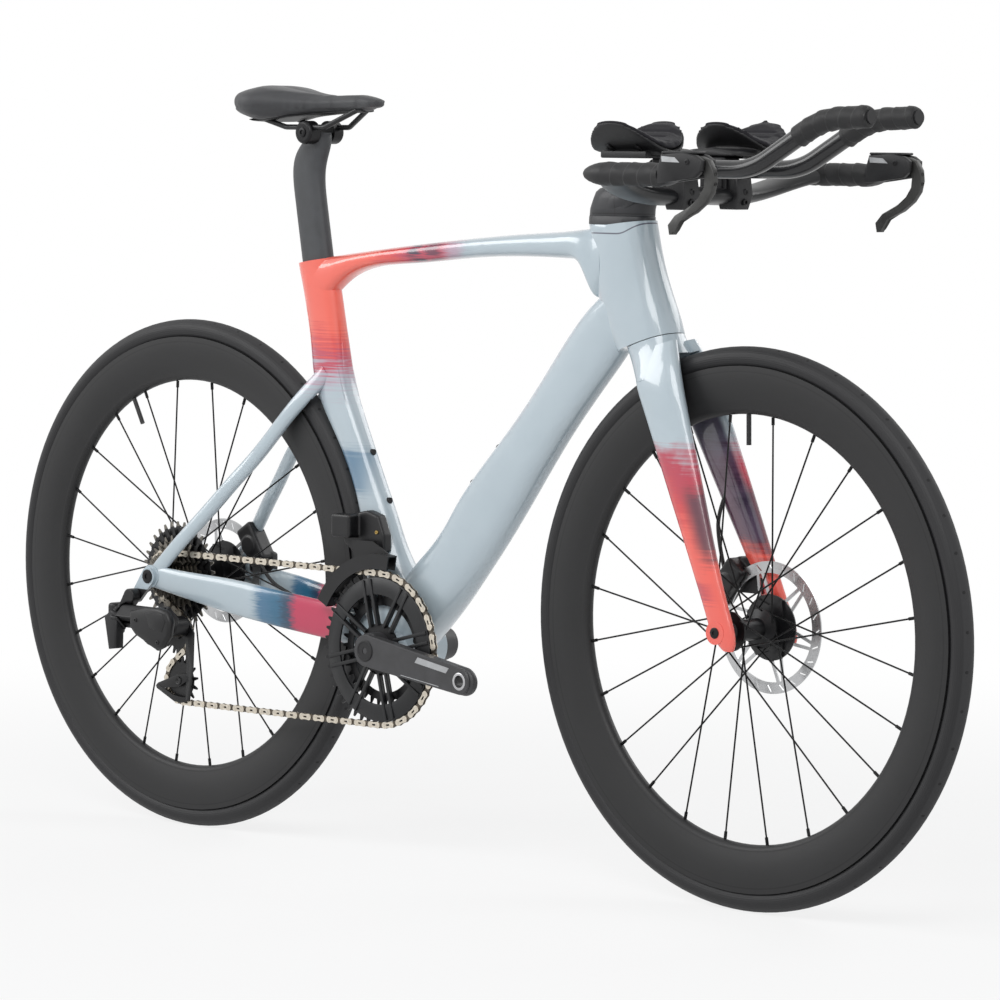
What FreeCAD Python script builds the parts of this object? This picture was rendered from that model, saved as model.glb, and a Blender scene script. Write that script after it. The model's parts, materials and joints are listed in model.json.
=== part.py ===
import FreeCAD, Part
import math
import os
import Sketcher
from FreeCAD import Placement, Rotation, Vector

# Time trial bike: X forward, Y to the rider's left, Z up, millimetres, origin on the ground midway
# between the wheels. The right side carries the drive.
doc = FreeCAD.newDocument("TimeTrialBike")
sheet = doc.addObject("Spreadsheet::Sheet", "Sizes")

size_table = {
    # whole bike
    "wheelbase": 985, "wheel_radius": 339, "chainstay_length": 410, "bb_drop": 67,
    "head_angle": 73, "fork_offset": 45, "clearance": 0.3, "overrun": 6, "wheel_gap": 6,
    # frame
    "seat_top_back": 168, "seat_top_rise": 491, "seat_tube_depth": 64, "seat_tube_width": 29,
    "crown_reach": 371, "head_tube_length": 147, "head_tube_depth": 100, "head_tube_width": 50,
    "down_tube_end_back": 70, "down_tube_end_rise": 36, "down_tube_depth": 80, "down_tube_width": 44,
    "top_tube_end_back": 59.5, "top_tube_end_rise": 10, "top_tube_depth": 33, "top_tube_width": 42,
    "top_tube_set_back": 6,
    "bb_shell_radius": 31, "bb_shell_width": 86, "bb_bore_radius": 20.5, "cup_length": 12, "wheel_slot_width": 38,
    "steerer_radius": 14.3, "steerer_gap": 1.7, "upper_bearing_radius": 20.9, "lower_bearing_radius": 25.5,
    "bearing_height": 7, "crown_gap": 1, "headset_cover_height": 18, "steerer_in_stem": 20,
    # stays
    "rear_spacing": 142, "dropout_thickness": 7, "dropout_radius": 15, "rear_axle_radius": 6,
    "seatstay_top_back": 150, "seatstay_top_rise": 338, "seatstay_depth": 20, "seatstay_width": 14,
    "chainstay_root_back": 7, "chainstay_root_rise": 13, "chainstay_depth": 52, "chainstay_width": 16,
    # seat
    "post_depth": 52, "post_width": 23, "post_rise": 172, "post_set_back": 0.181, "post_insert": 110,
    "post_wall_gap": 0.2, "clamp_bolt_radius": 3, "clamp_ear_radius": 15, "clamp_ear_width": 9,
    "clamp_height": 161, "clamp_forward": 1, "rail_spread": 44, "rail_radius": 3.5, "rail_height": 10,
    "saddle_length": 242, "saddle_width": 138, "saddle_height": 714.5, "saddle_back": 287,
    "saddle_depth": 38, "saddle_base_thickness": 4, "clamp_ear_round": 4,
    "rail_straight": 72, "rail_rear_reach": 84, "rail_rear_rise": 14, "rail_rear_spread": 66,
    "rail_front_reach": 78, "rail_front_rise": 22, "rail_front_spread": 18, "rail_bend": 14,
    # wheels
    "tyre_height": 23, "rim_depth": 58, "rim_width": 29.5, "bead_width": 21.8,
    "rim_well": 4, "spoke_radius": 1.1, "nipple_radius": 2, "nipple_length": 9, "spoke_gap": 0.4,
    "valve_radius": 3, "valve_length": 37, "flange_radius": 24, "flange_thickness": 3, "spoke_hole_inset": 1.5,
    "hub_barrel_radius": 13, "hub_cap_radius": 10, "rotor_seat_radius": 17,
    "front_spacing": 100, "front_flange_left": 21, "front_flange_right": 34, "front_axle_radius": 6,
    "rear_flange_left": 33, "rear_flange_right": 19, "axle_gap": 0.2,
    "front_rotor_radius": 80, "rear_rotor_radius": 70, "rotor_thickness": 1.8, "rotor_band": 14,
    "front_rotor_offset": 10.5, "rear_rotor_offset": 15.3, "rotor_arm_width": 4, "carrier_radius": 40,
    "carrier_thickness": 3, "rivet_radius": 3.2, "rotor_slot_width": 1.6,
    # fork
    "blade_depth": 70, "blade_width": 28, "blade_top_forward": 10, "blade_top_drop": 11,
    "blade_end_forward": 12, "blade_end_drop": 9, "fork_dropout_radius": 14, "fork_dropout_thickness": 12,
    "crown_depth": 44, "crown_front": 75, "crown_width": 58,
    # drive
    "chain_pitch": 12.7, "chain_line": 47.5, "roller_radius": 3.85, "chain_inner_width": 2.2,
    "plate_thickness": 0.65, "plate_height": 7.6, "plate_gap": 0.08, "pin_radius": 1.7, "tooth_height": 3.4,
    "sprocket_thickness": 1.6, "cog_step": 3.55, "cog_bore": 17.3, "cog_small_bore": 13,
    "cog_spacer_wall": 2.2, "crank_length": 170, "crank_drop": 8.5, "crank_height": 39,
    "crank_thickness": 15, "crank_face": 74, "crank_boss_radius": 22, "spindle_radius": 14.5,
    "pedal_hole_radius": 7.1, "pedal_insert_radius": 11, "ring_rib_width": 3.2, "ring_rib_gap": 9,
    "ring_band": 15, "ring_hub_radius": 33, "ring_step": 7.4, "ring_plate": 3.2, "cup_flange_radius": 24,
    "cup_flange_width": 2.4, "ring_stud_radius": 4, "guide_forward": 22.5, "guide_drop": 77, "cage_length": 62,
    "cage_angle": -83, "cage_search": 25,
    # derailleurs
    "rd_bolt_back": 22.5, "rd_bolt_drop": 27, "rd_bolt_radius": 4, "hanger_thickness": 5, "hanger_radius": 9,
    "pin_slant": 45, "rd_pin_back": 12, "rd_pin_drop": 22, "rd_pin_side": 98, "rd_pin_radius": 2,
    "link_spread": 15, "link_length": 78, "barrel_length": 22, "ear_thickness": 3, "ear_radius": 5.5,
    "web_thickness": 5, "outer_link_half": 5, "inner_link_half": 4.5, "b_boss_length": 14, "b_boss_radius": 10,
    "link_room_reach": 46, "link_room_gap": 0.9, "link_swing": 19,
    "battery_length": 14, "battery_width": 22, "battery_height": 42, "battery_round": 4,
    "cage_pivot_forward": 16, "cage_pivot_rise": 12, "p_knuckle_length": 26, "p_knuckle_radius": 14,
    "knuckle_skin": 1.5,
    "cage_pin_radius": 5, "cage_pin_length": 18, "cage_half": 4.4, "plate_width": 1.8,
    "cage_lower_radius": 15, "cage_upper_radius": 10, "cage_pivot_radius": 14, "cage_window_radius": 6,
    "pulley_axle_radius": 2.5, "pulley_hub_radius": 7,
    "fd_back": 90, "fd_rise": 113, "fd_length": 90, "fd_height": 61, "fd_outer": 31, "fd_inner": 16,
    "fd_round": 3, "fd_pack_length": 34, "fd_pack_width": 22, "fd_pack_height": 30, "fd_pin_radius": 3,
    "fd_tooth_gap": 2.5, "fd_cage_height": 19, "fd_cage_half": 6, "fd_travel": 7, "fd_pin_room": 21.6,
    # brakes
    "caliper_outset": 3, "caliper_height": 30, "caliper_width": 25, "caliper_length": 56, "caliper_round": 4,
    "piston_cap": 1.5, "piston_radius": 12, "pad_thickness": 1.2, "caliper_foot_length": 46,
    "caliper_foot_width": 13, "caliper_foot_height": 30, "rear_foot_forward": 66, "rear_foot_rise": 15,
    "rear_foot_side": 65.5, "rear_caliper_turn": 33, "front_foot_back": 38, "front_foot_rise": 60,
    "front_foot_side": 51.5, "front_foot_length": 40, "front_foot_height": 44, "front_caliper_turn": 142,
    "hose_radius": 2.5, "hose_bend": 22, "bottle_bolt_spread": 64, "bolt_reach": 140, "bottle_bolt_radius": 4,
    "bottle_bolt_height": 2.5, "seat_bolt_share": 0.44, "down_bolt_share": 0.50,
    # cockpit
    "bar_forward": 172, "bar_rise": 36, "stem_height": 46, "stem_root_rise": 20,
    "wing_chord": 62, "wing_thickness": 22, "wing_rise": 27,
    "grip_spread": 374, "grip_forward": 118, "grip_length": 88, "grip_radius": 11.2, "tape_radius": 13.8,
    "grip_tail": 36, "grip_tip_radius": 2.5, "ext_spread": 86, "ext_rise": 33, "ext_radius": 11.1, "ext_tail": 30,
    "ext_straight": 128, "ext_ramp": 108, "ext_climb": 60, "ext_tip": 70, "ext_tip_climb": 3, "ext_bend": 110,
    "ext_tape_back": 42, "ext_tape_radius": 13.3, "button_depth": 9, "button_radius": 8.5, "button_travel": 1.5,
    "button_proud": 3, "riser_wall": 4, "riser_length": 42, "riser_width": 30, "riser_round": 5,
    "pad_length": 116, "pad_width": 100, "pad_spread": 188, "pad_back": 10, "pad_edge_rise": 25,
    "bracket_thickness": 5, "bracket_length": 84, "bracket_round": 8, "cup_thickness": 3.5,
    "pad_thickness_rest": 10,
    "hood_length": 64, "hood_height": 29, "lever_length": 88, "lever_thickness": 9, "lever_room": 15,
    "lever_pin_radius": 2.2,
}
teeth_big_ring, teeth_small_ring, teeth_guide, teeth_tension = 48, 35, 12, 14
teeth_cassette = (10, 11, 12, 13, 14, 15, 17, 19, 21, 24, 28, 33)
teeth_in_use = 15
spokes_per_wheel, spoke_cross_angle, section_points = 24, 60, 16

for row, (name, value) in enumerate(size_table.items(), 1):
    sheet.set("A%d" % row, name)
    sheet.set("B%d" % row, str(value))
    sheet.setAlias("B%d" % row, name)
doc.recompute()


class Sizes:
    def __init__(self):
        for name in size_table:
            setattr(self, name, float(sheet.get(name)))


size = Sizes()
X, Y, Z = Vector(1, 0, 0), Vector(0, 1, 0), Vector(0, 0, 1)


def at(x, z, y=0):
    return Vector(x, y, z)


def flat_turn(angle):
    return Vector(math.cos(math.radians(angle)), 0, math.sin(math.radians(angle)))


# Points that many pieces share
rear_axle = at(-size.wheelbase / 2, size.wheel_radius)
front_axle = at(size.wheelbase / 2, size.wheel_radius)
bb = rear_axle + at(math.sqrt(size.chainstay_length ** 2 - size.bb_drop ** 2), -size.bb_drop)
steer_up = flat_turn(180 - size.head_angle)
steer_ahead = flat_turn(90 - size.head_angle)
steer_foot = front_axle - steer_ahead * size.fork_offset
seat_top = bb + at(-size.seat_top_back, size.seat_top_rise)


def steer_point(along, ahead=0, side=0):
    return steer_foot + steer_up * along + steer_ahead * ahead + Y * side


# Shape helpers
def section(centre, ahead_way, side_way, ahead, behind, half_width, power=2.4):
    points = []
    for k in range(section_points):
        turn = 2 * math.pi * k / section_points
        c, s = math.cos(turn), math.sin(turn)
        reach = ahead if c > 0 else behind
        points.append(centre + ahead_way * (reach * math.copysign(abs(c) ** (2 / power), c))
                      + side_way * (half_width * math.copysign(abs(s) ** (2 / power), s)))
    curve = Part.BSplineCurve()
    curve.interpolate(Points=points, Parameters=list(range(section_points + 1)), PeriodicFlag=True)
    return Part.Wire([curve.toShape()])


def loft(wires, ruled=False):
    return Part.makeLoft(wires, True, ruled)


def rod(start, end, radius):
    way = end - start
    return Part.makeCylinder(radius, way.Length, start, way)


def ring(outer, inner, start, end):
    return rod(start, end, outer).cut(rod(start, end, inner))


def prism(points, way):
    return Part.Face(Part.makePolygon(list(points) + [points[0]])).extrude(way)


def block(centre, lengths):
    corner = centre - lengths * 0.5
    return Part.makeBox(lengths.x, lengths.y, lengths.z, corner)


def softened(shape, radius, edges=None):
    return shape.makeFillet(radius, edges or shape.Edges)


def bent_tube(points, bend, radius):
    edges, last = [], points[0]
    for before, corner, after in zip(points, points[1:], points[2:]):
        back, ahead = (before - corner).normalize(), (after - corner).normalize()
        half = back.getAngle(ahead) / 2
        run = bend / math.tan(half)
        start, end = corner + back * run, corner + ahead * run
        bisector = (back + ahead).normalize()
        middle = corner + bisector * (bend / math.sin(half) - bend)
        edges.append(Part.LineSegment(last, start).toShape())
        edges.append(Part.Arc(start, middle, end).toShape())
        last = end
    edges.append(Part.LineSegment(last, points[-1]).toShape())
    path = Part.Wire(edges)
    way = points[1] - points[0]
    return path.makePipeShell([Part.Wire([Part.makeCircle(radius, points[0], way)])], True, False)


def joined(*shapes):
    whole = shapes[0].fuse(list(shapes[1:])) if len(shapes) > 1 else shapes[0]
    whole = whole.removeSplitter()
    return whole.Solids[0] if len(whole.Solids) == 1 else whole


def group(shapes):
    return Part.makeCompound(shapes)


def mirrored(shape):
    return shape.mirror(Vector(), Y)


pieces = {}


def keep(label, shape, place=None):
    feature = doc.addObject("Part::Feature", label)
    feature.Label = label
    feature.Shape = shape
    feature.Placement = place or Placement()
    pieces[label] = feature
    return feature


def origin_plane(body, role):
    return next(item for item in body.Origin.OriginFeatures if item.Role == role)


# A turned piece: its half outline is a sketch of lines, and of arcs where an entry gives a middle point,
# with every corner bound to the sheet. It turns about the axle's direction, Y.
def turned(label, outline, place):
    body = doc.addObject("PartDesign::Body", label)
    body.Label = label
    sketch = body.newObject("Sketcher::SketchObject", label + "_outline")
    sketch.AttachmentSupport = [(origin_plane(body, "XY_Plane"), "")]
    sketch.MapMode = "FlatFace"

    def value(text):
        return float(sketch.evalExpression(text))

    corners = [Vector(value(entry[0]), value(entry[1]), 0) for entry in outline]
    lines = []
    for k, entry in enumerate(outline):
        start, end = corners[k], corners[(k + 1) % len(outline)]
        if len(entry) == 4:
            curve = Part.Arc(start, Vector(value(entry[2]), value(entry[3]), 0), end)
        else:
            curve = Part.LineSegment(start, end)
        lines.append(sketch.addGeometry(curve, False))

    def first_point(k):
        geometry = sketch.Geometry[lines[k]]
        return 1 if geometry.StartPoint.distanceToPoint(corners[k]) < size.clearance / 100 else 2

    firsts = [first_point(k) for k in range(len(outline))]

    def bind(line, point, texts):
        for kind, text in zip(("DistanceX", "DistanceY"), texts):
            rule = sketch.addConstraint(Sketcher.Constraint(kind, -1, 1, line, point, value(text)))
            sketch.setExpression("Constraints[%d]" % rule, text)

    for k, entry in enumerate(outline):
        following = (k + 1) % len(outline)
        sketch.addConstraint(Sketcher.Constraint("Coincident", lines[k], 3 - firsts[k],
                                                 lines[following], firsts[following]))
    for k, entry in enumerate(outline):
        bind(lines[k], firsts[k], entry[:2])
        if len(entry) == 4:
            mark = sketch.addGeometry(Part.Point(Vector(value(entry[2]), value(entry[3]), 0)), True)
            bind(mark, 1, entry[2:])
            sketch.addConstraint(Sketcher.Constraint("PointOnObject", mark, 1, lines[k]))
    turn = body.newObject("PartDesign::Revolution", label + "_turn")
    turn.Profile = sketch
    turn.ReferenceAxis = (sketch, ["V_Axis"])
    turn.Angle = 360
    body.Tip = turn
    for part, text in zip("xyz", place):
        body.setExpression("Placement.Base." + part, text)
    pieces[label] = body
    return body


rear_place = ("-Sizes.wheelbase / 2", "0 mm", "Sizes.wheel_radius")
front_place = ("Sizes.wheelbase / 2", "0 mm", "Sizes.wheel_radius")


# A pin or sleeve made of drawn cylinders, bound to the sheet, lying along Y from start to end
def bound_cylinder(label, radius, start, end, place):
    item = doc.addObject("Part::Cylinder", label)
    item.Placement = Placement(Vector(), Rotation(X, -90))
    item.setExpression("Radius", radius)
    item.setExpression("Height", "(%s) - (%s)" % (end, start))
    item.setExpression("Placement.Base.x", place[0])
    item.setExpression("Placement.Base.y", start)
    item.setExpression("Placement.Base.z", place[2])
    return item


def bound_cut(label, base, tool):
    item = doc.addObject("Part::Cut", label)
    item.Base, item.Tool = base, tool
    return item


def bound_fuse(label, shapes):
    item = doc.addObject("Part::MultiFuse", label)
    item.Shapes = shapes
    return item


def keep_bound(label, item):
    item.Label = label
    pieces[label] = item
    return item


# Frame: each tube is lofted through rounded sections whose stations are shares of the tube's own sizes
seat_tube_shares = (  # rise, behind, ahead, half width
    (0.998, 0.50, 0.45, 0.52), (0.944, 0.54, 0.41, 0.51), (0.89, 0.586, 0.367, 0.50),
    (0.836, 0.645, 0.308, 0.49), (0.782, 0.717, 0.244, 0.49), (0.728, 0.81, 0.177, 0.49),
    (0.674, 0.865, 0.13, 0.49), (0.62, 0.80, 0.17, 0.50), (0.56, 0.65, 0.24, 0.53),
    (0.50, 0.48, 0.31, 0.56), (0.42, 0.34, 0.41, 0.60), (0.33, 0.32, 0.52, 0.66), (0.25, 0.42, 0.60, 0.75), (0.16, 0.60, 0.85, 1.00), (0.06, 0.80, 0.80, 1.25),
    (-0.02, 0.34, 0.34, 1.05))
down_tube_shares = (  # along, above, below, half width
    (1.09, 0.25, 0.40, 0.44), (1.00, 0.46, 0.49, 0.455), (0.78, 0.50, 0.44, 0.455), (0.645, 0.51, 0.45, 0.48),
    (0.37, 0.60, 0.53, 0.50), (0.25, 0.575, 0.51, 0.57), (0.18, 0.63, 0.475, 0.64), (0.10, 0.62, 0.40, 0.72),
    (-0.01, 0.36, 0.36, 0.78))
top_tube_shares = (  # along, rise above its line, depth, half width
    (0.0, 0.0, 1.45, 0.345), (0.06, 0.03, 1.62, 0.37), (0.114, 0.05, 1.10, 0.39), (0.198, 0.076, 0.70, 0.417),
    (0.37, 0.115, 0.70, 0.44), (0.586, 0.118, 0.74, 0.465), (0.796, 0.055, 0.88, 0.50), (0.916, 0.0, 1.03, 0.535),
    (0.968, 0.0, 1.35, 0.565), (1.0, -0.02, 2.25, 0.55), (1.045, -0.10, 2.15, 0.50))
head_tube_shares = (  # along, ahead, behind, half width, tilt of the section
    (0.0, 0.325, 0.60, 0.585, 1.0), (0.12, 0.32, 0.66, 0.575, 1.0), (0.35, 0.285, 0.74, 0.53, 0.9),
    (0.65, 0.26, 0.75, 0.50, 0.7), (1.0, 0.30, 0.68, 0.485, 0.37))

seat_line = seat_top - bb
seat_bend_share, seat_top_tilt_share = 0.84, 0.92  # the tube's top leans to meet the top tube
seat_tube = loft([
    section(bb + seat_line * rise, (X + Z * (seat_top_tilt_share * max(rise - seat_bend_share, 0))).normalize(),
            Y, ahead * size.seat_tube_depth, behind * size.seat_tube_depth, wide * size.seat_tube_width)
    for rise, behind, ahead, wide in seat_tube_shares])
down_end = steer_point(size.crown_reach + size.down_tube_end_rise, -size.down_tube_end_back)
down_line = down_end - bb
down_way = Vector(down_line).normalize()
down_up = Vector(-down_way.z, 0, down_way.x)
down_tube = loft([
    section(bb + down_line * along, down_up, Y, above * size.down_tube_depth, below * size.down_tube_depth,
            wide * size.down_tube_width, 2.6)
    for along, above, below, wide in down_tube_shares])
head_top = size.crown_reach + size.head_tube_length
top_start = seat_top + at(-size.top_tube_set_back, size.clearance)
top_line = steer_point(head_top + size.top_tube_end_rise, -size.top_tube_end_back) - top_start
top_tube = loft([
    section(top_start + top_line * along + Z * ((rise - depth / 2) * size.top_tube_depth), Z, Y,
            depth * size.top_tube_depth / 2, depth * size.top_tube_depth / 2, wide * size.top_tube_width, 2.6)
    for along, rise, depth, wide in top_tube_shares])
head_tilt = 90 - size.head_angle


def head_section(along, ahead, behind, wide, tilt):
    return section(steer_point(size.crown_reach + along * size.head_tube_length), flat_turn(head_tilt * tilt),
                   Y, ahead * size.head_tube_depth, behind * size.head_tube_depth, wide * size.head_tube_width)


head_tube = loft([head_section(*shares) for shares in head_tube_shares])
bb_half = size.bb_shell_width / 2
bb_shell = rod(bb - Y * bb_half, bb + Y * bb_half, size.bb_shell_radius)
triangle = joined(seat_tube, down_tube, head_tube, top_tube, bb_shell)


# Space that a turning wheel needs, as a disc wider than the tyre
def wheel_room(axle):
    half = size.wheel_slot_width / 2
    return rod(axle - Y * half, axle + Y * half, size.wheel_radius + size.wheel_gap)


def post_section(up, gap=0):
    centre = seat_top + at(-size.post_set_back * up, up)
    half_depth = size.post_depth / 2 + gap
    return section(centre, X, Y, half_depth, half_depth, size.post_width / 2 + gap)


def steer_rod(start, end, radius):
    return rod(steer_point(start), steer_point(end), radius)


post_pocket = loft([post_section(-size.post_insert - size.overrun, size.post_wall_gap),
                    post_section(size.overrun * 3, size.post_wall_gap)])
triangle = triangle.cut([
    wheel_room(rear_axle), post_pocket,
    rod(bb - Y * size.bb_shell_width, bb + Y * size.bb_shell_width, size.bb_bore_radius),
    steer_rod(size.crown_reach - size.overrun, head_top + size.overrun, size.steerer_radius + size.steerer_gap),
    steer_rod(size.crown_reach - size.overrun, size.crown_reach + size.bearing_height, size.lower_bearing_radius),
    steer_rod(head_top - size.bearing_height, head_top + size.overrun * 3, size.upper_bearing_radius)])
print("frame solids", len(triangle.Solids), [round(s.Volume) for s in triangle.Solids])
triangle = max(triangle.Solids, key=lambda s: s.Volume)
keep("front_triangle", triangle)

# Stays: each side is one loft to its dropout, cut where it meets the triangle
seatstay_shares = (  # along, side, half depth, half width
    (-0.04, 0.12, 0.55, 0.42), (0.08, 0.25, 0.55, 0.46), (0.16, 0.325, 0.52, 0.47), (0.28, 0.375, 0.50, 0.48),
    (0.516, 0.56, 0.50, 0.50), (0.712, 0.75, 0.50, 0.48), (0.83, 0.875, 0.50, 0.42), (0.93, 0.945, 0.52, 0.36),
    (1.0, 0.985, 0.52, 0.30))
chainstay_shares = (
    (0.0, 0.36, 0.48, 0.45), (0.11, 0.345, 0.47, 0.45), (0.18, 0.36, 0.46, 0.44), (0.34, 0.485, 0.46, 0.46),
    (0.526, 0.66, 0.45, 0.48), (0.77, 0.845, 0.385, 0.44), (0.844, 0.905, 0.345, 0.40),
    (0.907, 0.945, 0.315, 0.36), (1.0, 0.99, 0.27, 0.24))
dropout_side = size.rear_spacing / 2 + size.dropout_thickness / 2
dropout_outer = size.rear_spacing / 2 + size.dropout_thickness
seatstay_top = bb + at(-size.seatstay_top_back, size.seatstay_top_rise)
chainstay_root = bb + at(-size.chainstay_root_back, size.chainstay_root_rise)


def stay(start, end, shares, depth, width, side):
    line = end - start
    up = Vector(line.z, 0, -line.x).normalize()
    return loft([
        section(start + line * along + Y * (side * out * dropout_side), up, Y, deep * depth, deep * depth,
                wide * width, 2.3) for along, out, deep, wide in shares])


def dropout(side, radius):
    return rod(rear_axle + Y * (side * size.rear_spacing / 2), rear_axle + Y * (side * dropout_outer), radius)


def through_axle(axle, radius):
    return rod(axle - Y * size.rear_spacing, axle + Y * size.rear_spacing, radius)


def largest(shape):
    return max(shape.Solids, key=lambda solid: solid.Volume)


rear_hole = through_axle(rear_axle, size.rear_axle_radius + size.axle_gap)
hub_room = rod(rear_axle - Y * (size.rear_spacing / 2), rear_axle + Y * (size.rear_spacing / 2),
               size.dropout_radius * 2)
low = stay(chainstay_root, rear_axle, chainstay_shares, size.chainstay_depth, size.chainstay_width, 1)
low = joined(low, dropout(1, size.dropout_radius))
low = largest(low.cut([triangle, rear_hole, hub_room, wheel_room(rear_axle)]))
high = stay(seatstay_top, rear_axle, seatstay_shares, size.seatstay_depth, size.seatstay_width, 1)
high = largest(high.cut([triangle, low, rear_hole, hub_room, wheel_room(rear_axle)]))
keep("chainstay_left", low)
keep("seatstay_left", high)
keep("chainstay_right", mirrored(low))
keep("seatstay_right", mirrored(high))

# Headset: two bearings in the head tube and the cover that fairs the frame into the bar
thin_gap = size.clearance / 3
stem_foot = head_top + size.headset_cover_height
bearing_bore = steer_rod(0, head_top * 2, size.steerer_radius + size.clearance)
lower_bearing = steer_rod(size.crown_reach, size.crown_reach + size.bearing_height - thin_gap,
                          size.lower_bearing_radius - thin_gap)
upper_bearing = steer_rod(head_top - size.bearing_height + thin_gap, head_top,
                          size.upper_bearing_radius - thin_gap)
keep("headset_bearings", group([b.cut(bearing_bore) for b in (lower_bearing, upper_bearing)]))
stem_foot_shares = (0.29, 0.69, 0.46)  # ahead and behind of the head tube's depth, half width of its width


def stem_section(along, grow=1.0):
    ahead, behind, wide = stem_foot_shares
    return section(steer_point(along), steer_ahead, Y, ahead * grow * size.head_tube_depth,
                   behind * grow * size.head_tube_depth, wide * grow * size.head_tube_width)


cover = loft([head_section(*head_tube_shares[-1]), stem_section(stem_foot)])
keep("headset_cover", largest(cover.cut([triangle, bearing_bore, upper_bearing])))

# Bottom bracket: two flanged cups around the crank spindle
bb_place = ("-Sizes.wheelbase / 2 + sqrt(Sizes.chainstay_length^2 - Sizes.bb_drop^2)", "0 mm",
            "Sizes.wheel_radius - Sizes.bb_drop")
cup_seat = "Sizes.bb_shell_width / 2"
cup_spans = {"right": (("-(%s + Sizes.cup_flange_width)", "-%s"), ("-%s", "-(%s - Sizes.cup_length)")),
             "left": (("%s", "%s + Sizes.cup_flange_width"), ("%s - Sizes.cup_length", "%s"))}
cups = []
for hand, spans in cup_spans.items():
    radii = ("Sizes.cup_flange_radius", "Sizes.bb_bore_radius - Sizes.clearance / 3")
    for radius, (start, end), what in zip(radii, spans, ("flange", "sleeve")):
        cups.append(bound_cylinder("cup_%s_%s" % (what, hand), radius, start % cup_seat, end % cup_seat, bb_place))
spindle_room = bound_cylinder("spindle_room", "Sizes.spindle_radius + Sizes.clearance",
                              "-Sizes.bb_shell_width", "Sizes.bb_shell_width", bb_place)
both_cups = bound_fuse("both_cups", cups)
keep_bound("bottom_bracket", bound_cut("bottom_bracket", both_cups, spindle_room))

# Seat post: an upright aero section whose head leans forward to the rail clamp
post_head_shares = (  # rise, forward shift and half depth as shares of the post's rise and depth, half width
    (0.36, 0.0, 0.50, 0.50), (0.46, 0.0, 0.50, 0.50), (0.56, 0.003, 0.505, 0.50), (0.65, 0.015, 0.515, 0.50),
    (0.74, 0.045, 0.525, 0.50), (0.83, 0.10, 0.49, 0.52), (0.90, 0.155, 0.38, 0.55), (0.955, 0.195, 0.25, 0.55))
post_straight_share = 0.26
post_straight = post_straight_share * size.post_rise
post_sections = [post_section(post_straight)]
for rise, shift, deep, wide in post_head_shares:
    up = rise * size.post_rise
    centre = seat_top + at(-size.post_set_back * up + shift * size.post_rise, up)
    post_sections.append(section(centre, X, Y, deep * size.post_depth, deep * size.post_depth,
                                 wide * size.post_width))
clamp = seat_top + at(size.clamp_forward, size.clamp_height)
clamp_span = Y * (size.rail_spread / 2 + size.clamp_ear_width)
clamp_bolt = rod(clamp - clamp_span, clamp + clamp_span, size.clamp_bolt_radius)
clamp_hole = rod(clamp - clamp_span, clamp + clamp_span, size.clamp_bolt_radius + thin_gap)
post = joined(loft([post_section(-size.post_insert), post_section(post_straight)]), loft(post_sections))
keep("seatpost", largest(post.cut([clamp_hole])))


# Saddle clamp: an ear on each side of the post's head holds a rail, and one bolt draws the ears together
rail_line = clamp + Z * size.rail_height
rail_half = size.rail_spread / 2
ear_start, ear_end = size.post_width / 2 + size.clearance * 4, rail_half + size.clamp_ear_width
ear_lift_share = 1 / 3
ear_lift = size.rail_height * ear_lift_share
ears = []
for side in (-1, 1):
    ear = rod(clamp + at(0, ear_lift, side * ear_start), clamp + at(0, ear_lift, side * ear_end),
              size.clamp_ear_radius)
    rail_hole = rod(rail_line + at(-size.clamp_ear_radius * 2, 0, side * rail_half),
                    rail_line + at(size.clamp_ear_radius * 2, 0, side * rail_half), size.rail_radius + thin_gap)
    ear = largest(ear.cut([rail_hole, clamp_hole, post]))
    ears.append(ear.makeFillet(size.clamp_ear_round, [e for e in ear.Edges if e.Curve.TypeId == "Part::GeomCircle"
                and abs(e.Curve.Radius - size.clamp_ear_radius) < thin_gap
                and abs(abs(e.CenterOfMass.y) - ear_end) < thin_gap]))
keep("saddle_clamp", group(ears + [clamp_bolt]))

# Saddle: two rails, a shell that they spring from, and the padded cover with its crown and drawn-in waist
saddle_shares = (  # along from the tail, half width, drop of the top, drop of the underside
    (0.0, 0.17, 0.38, 0.72), (0.025, 0.33, 0.14, 0.92), (0.075, 0.45, 0.04, 1.03), (0.12, 0.48, 0.015, 1.07),
    (0.17, 0.50, 0.0, 1.10),
    (0.29, 0.43, 0.08, 1.02), (0.43, 0.30, 0.22, 0.92), (0.60, 0.20, 0.31, 0.84), (0.78, 0.16, 0.31, 0.78),
    (0.86, 0.145, 0.322, 0.757), (0.92, 0.125, 0.34, 0.74), (0.98, 0.08, 0.40, 0.70), (1.0, 0.035, 0.48, 0.63))
base_alongs_shares, base_width_share = (0.12, 0.17, 0.29, 0.43, 0.60, 0.78, 0.86), 0.60
saddle_tail = bb + at(-size.saddle_back, size.saddle_height)
cover_sections, base_sections = [], []
for along, wide, top, under in saddle_shares:
    middle = saddle_tail + at(along * size.saddle_length, -(top + under) / 2 * size.saddle_depth)
    half = (under - top) / 2 * size.saddle_depth
    cover_sections.append(section(middle, Z, Y, half, half, wide * size.saddle_width, 2.7))
    base_middle = saddle_tail + at(along * size.saddle_length, -under * size.saddle_depth - size.clearance
                                   - size.saddle_base_thickness / 2)
    if along in base_alongs_shares:
        base_sections.append(section(base_middle, Z, Y, size.saddle_base_thickness / 2,
                                     size.saddle_base_thickness / 2, wide * size.saddle_width * base_width_share))
saddle_cover = loft(cover_sections)
saddle_base = loft(base_sections)
rails, rail_split_shares = [], (0.55, 0.45)
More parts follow.
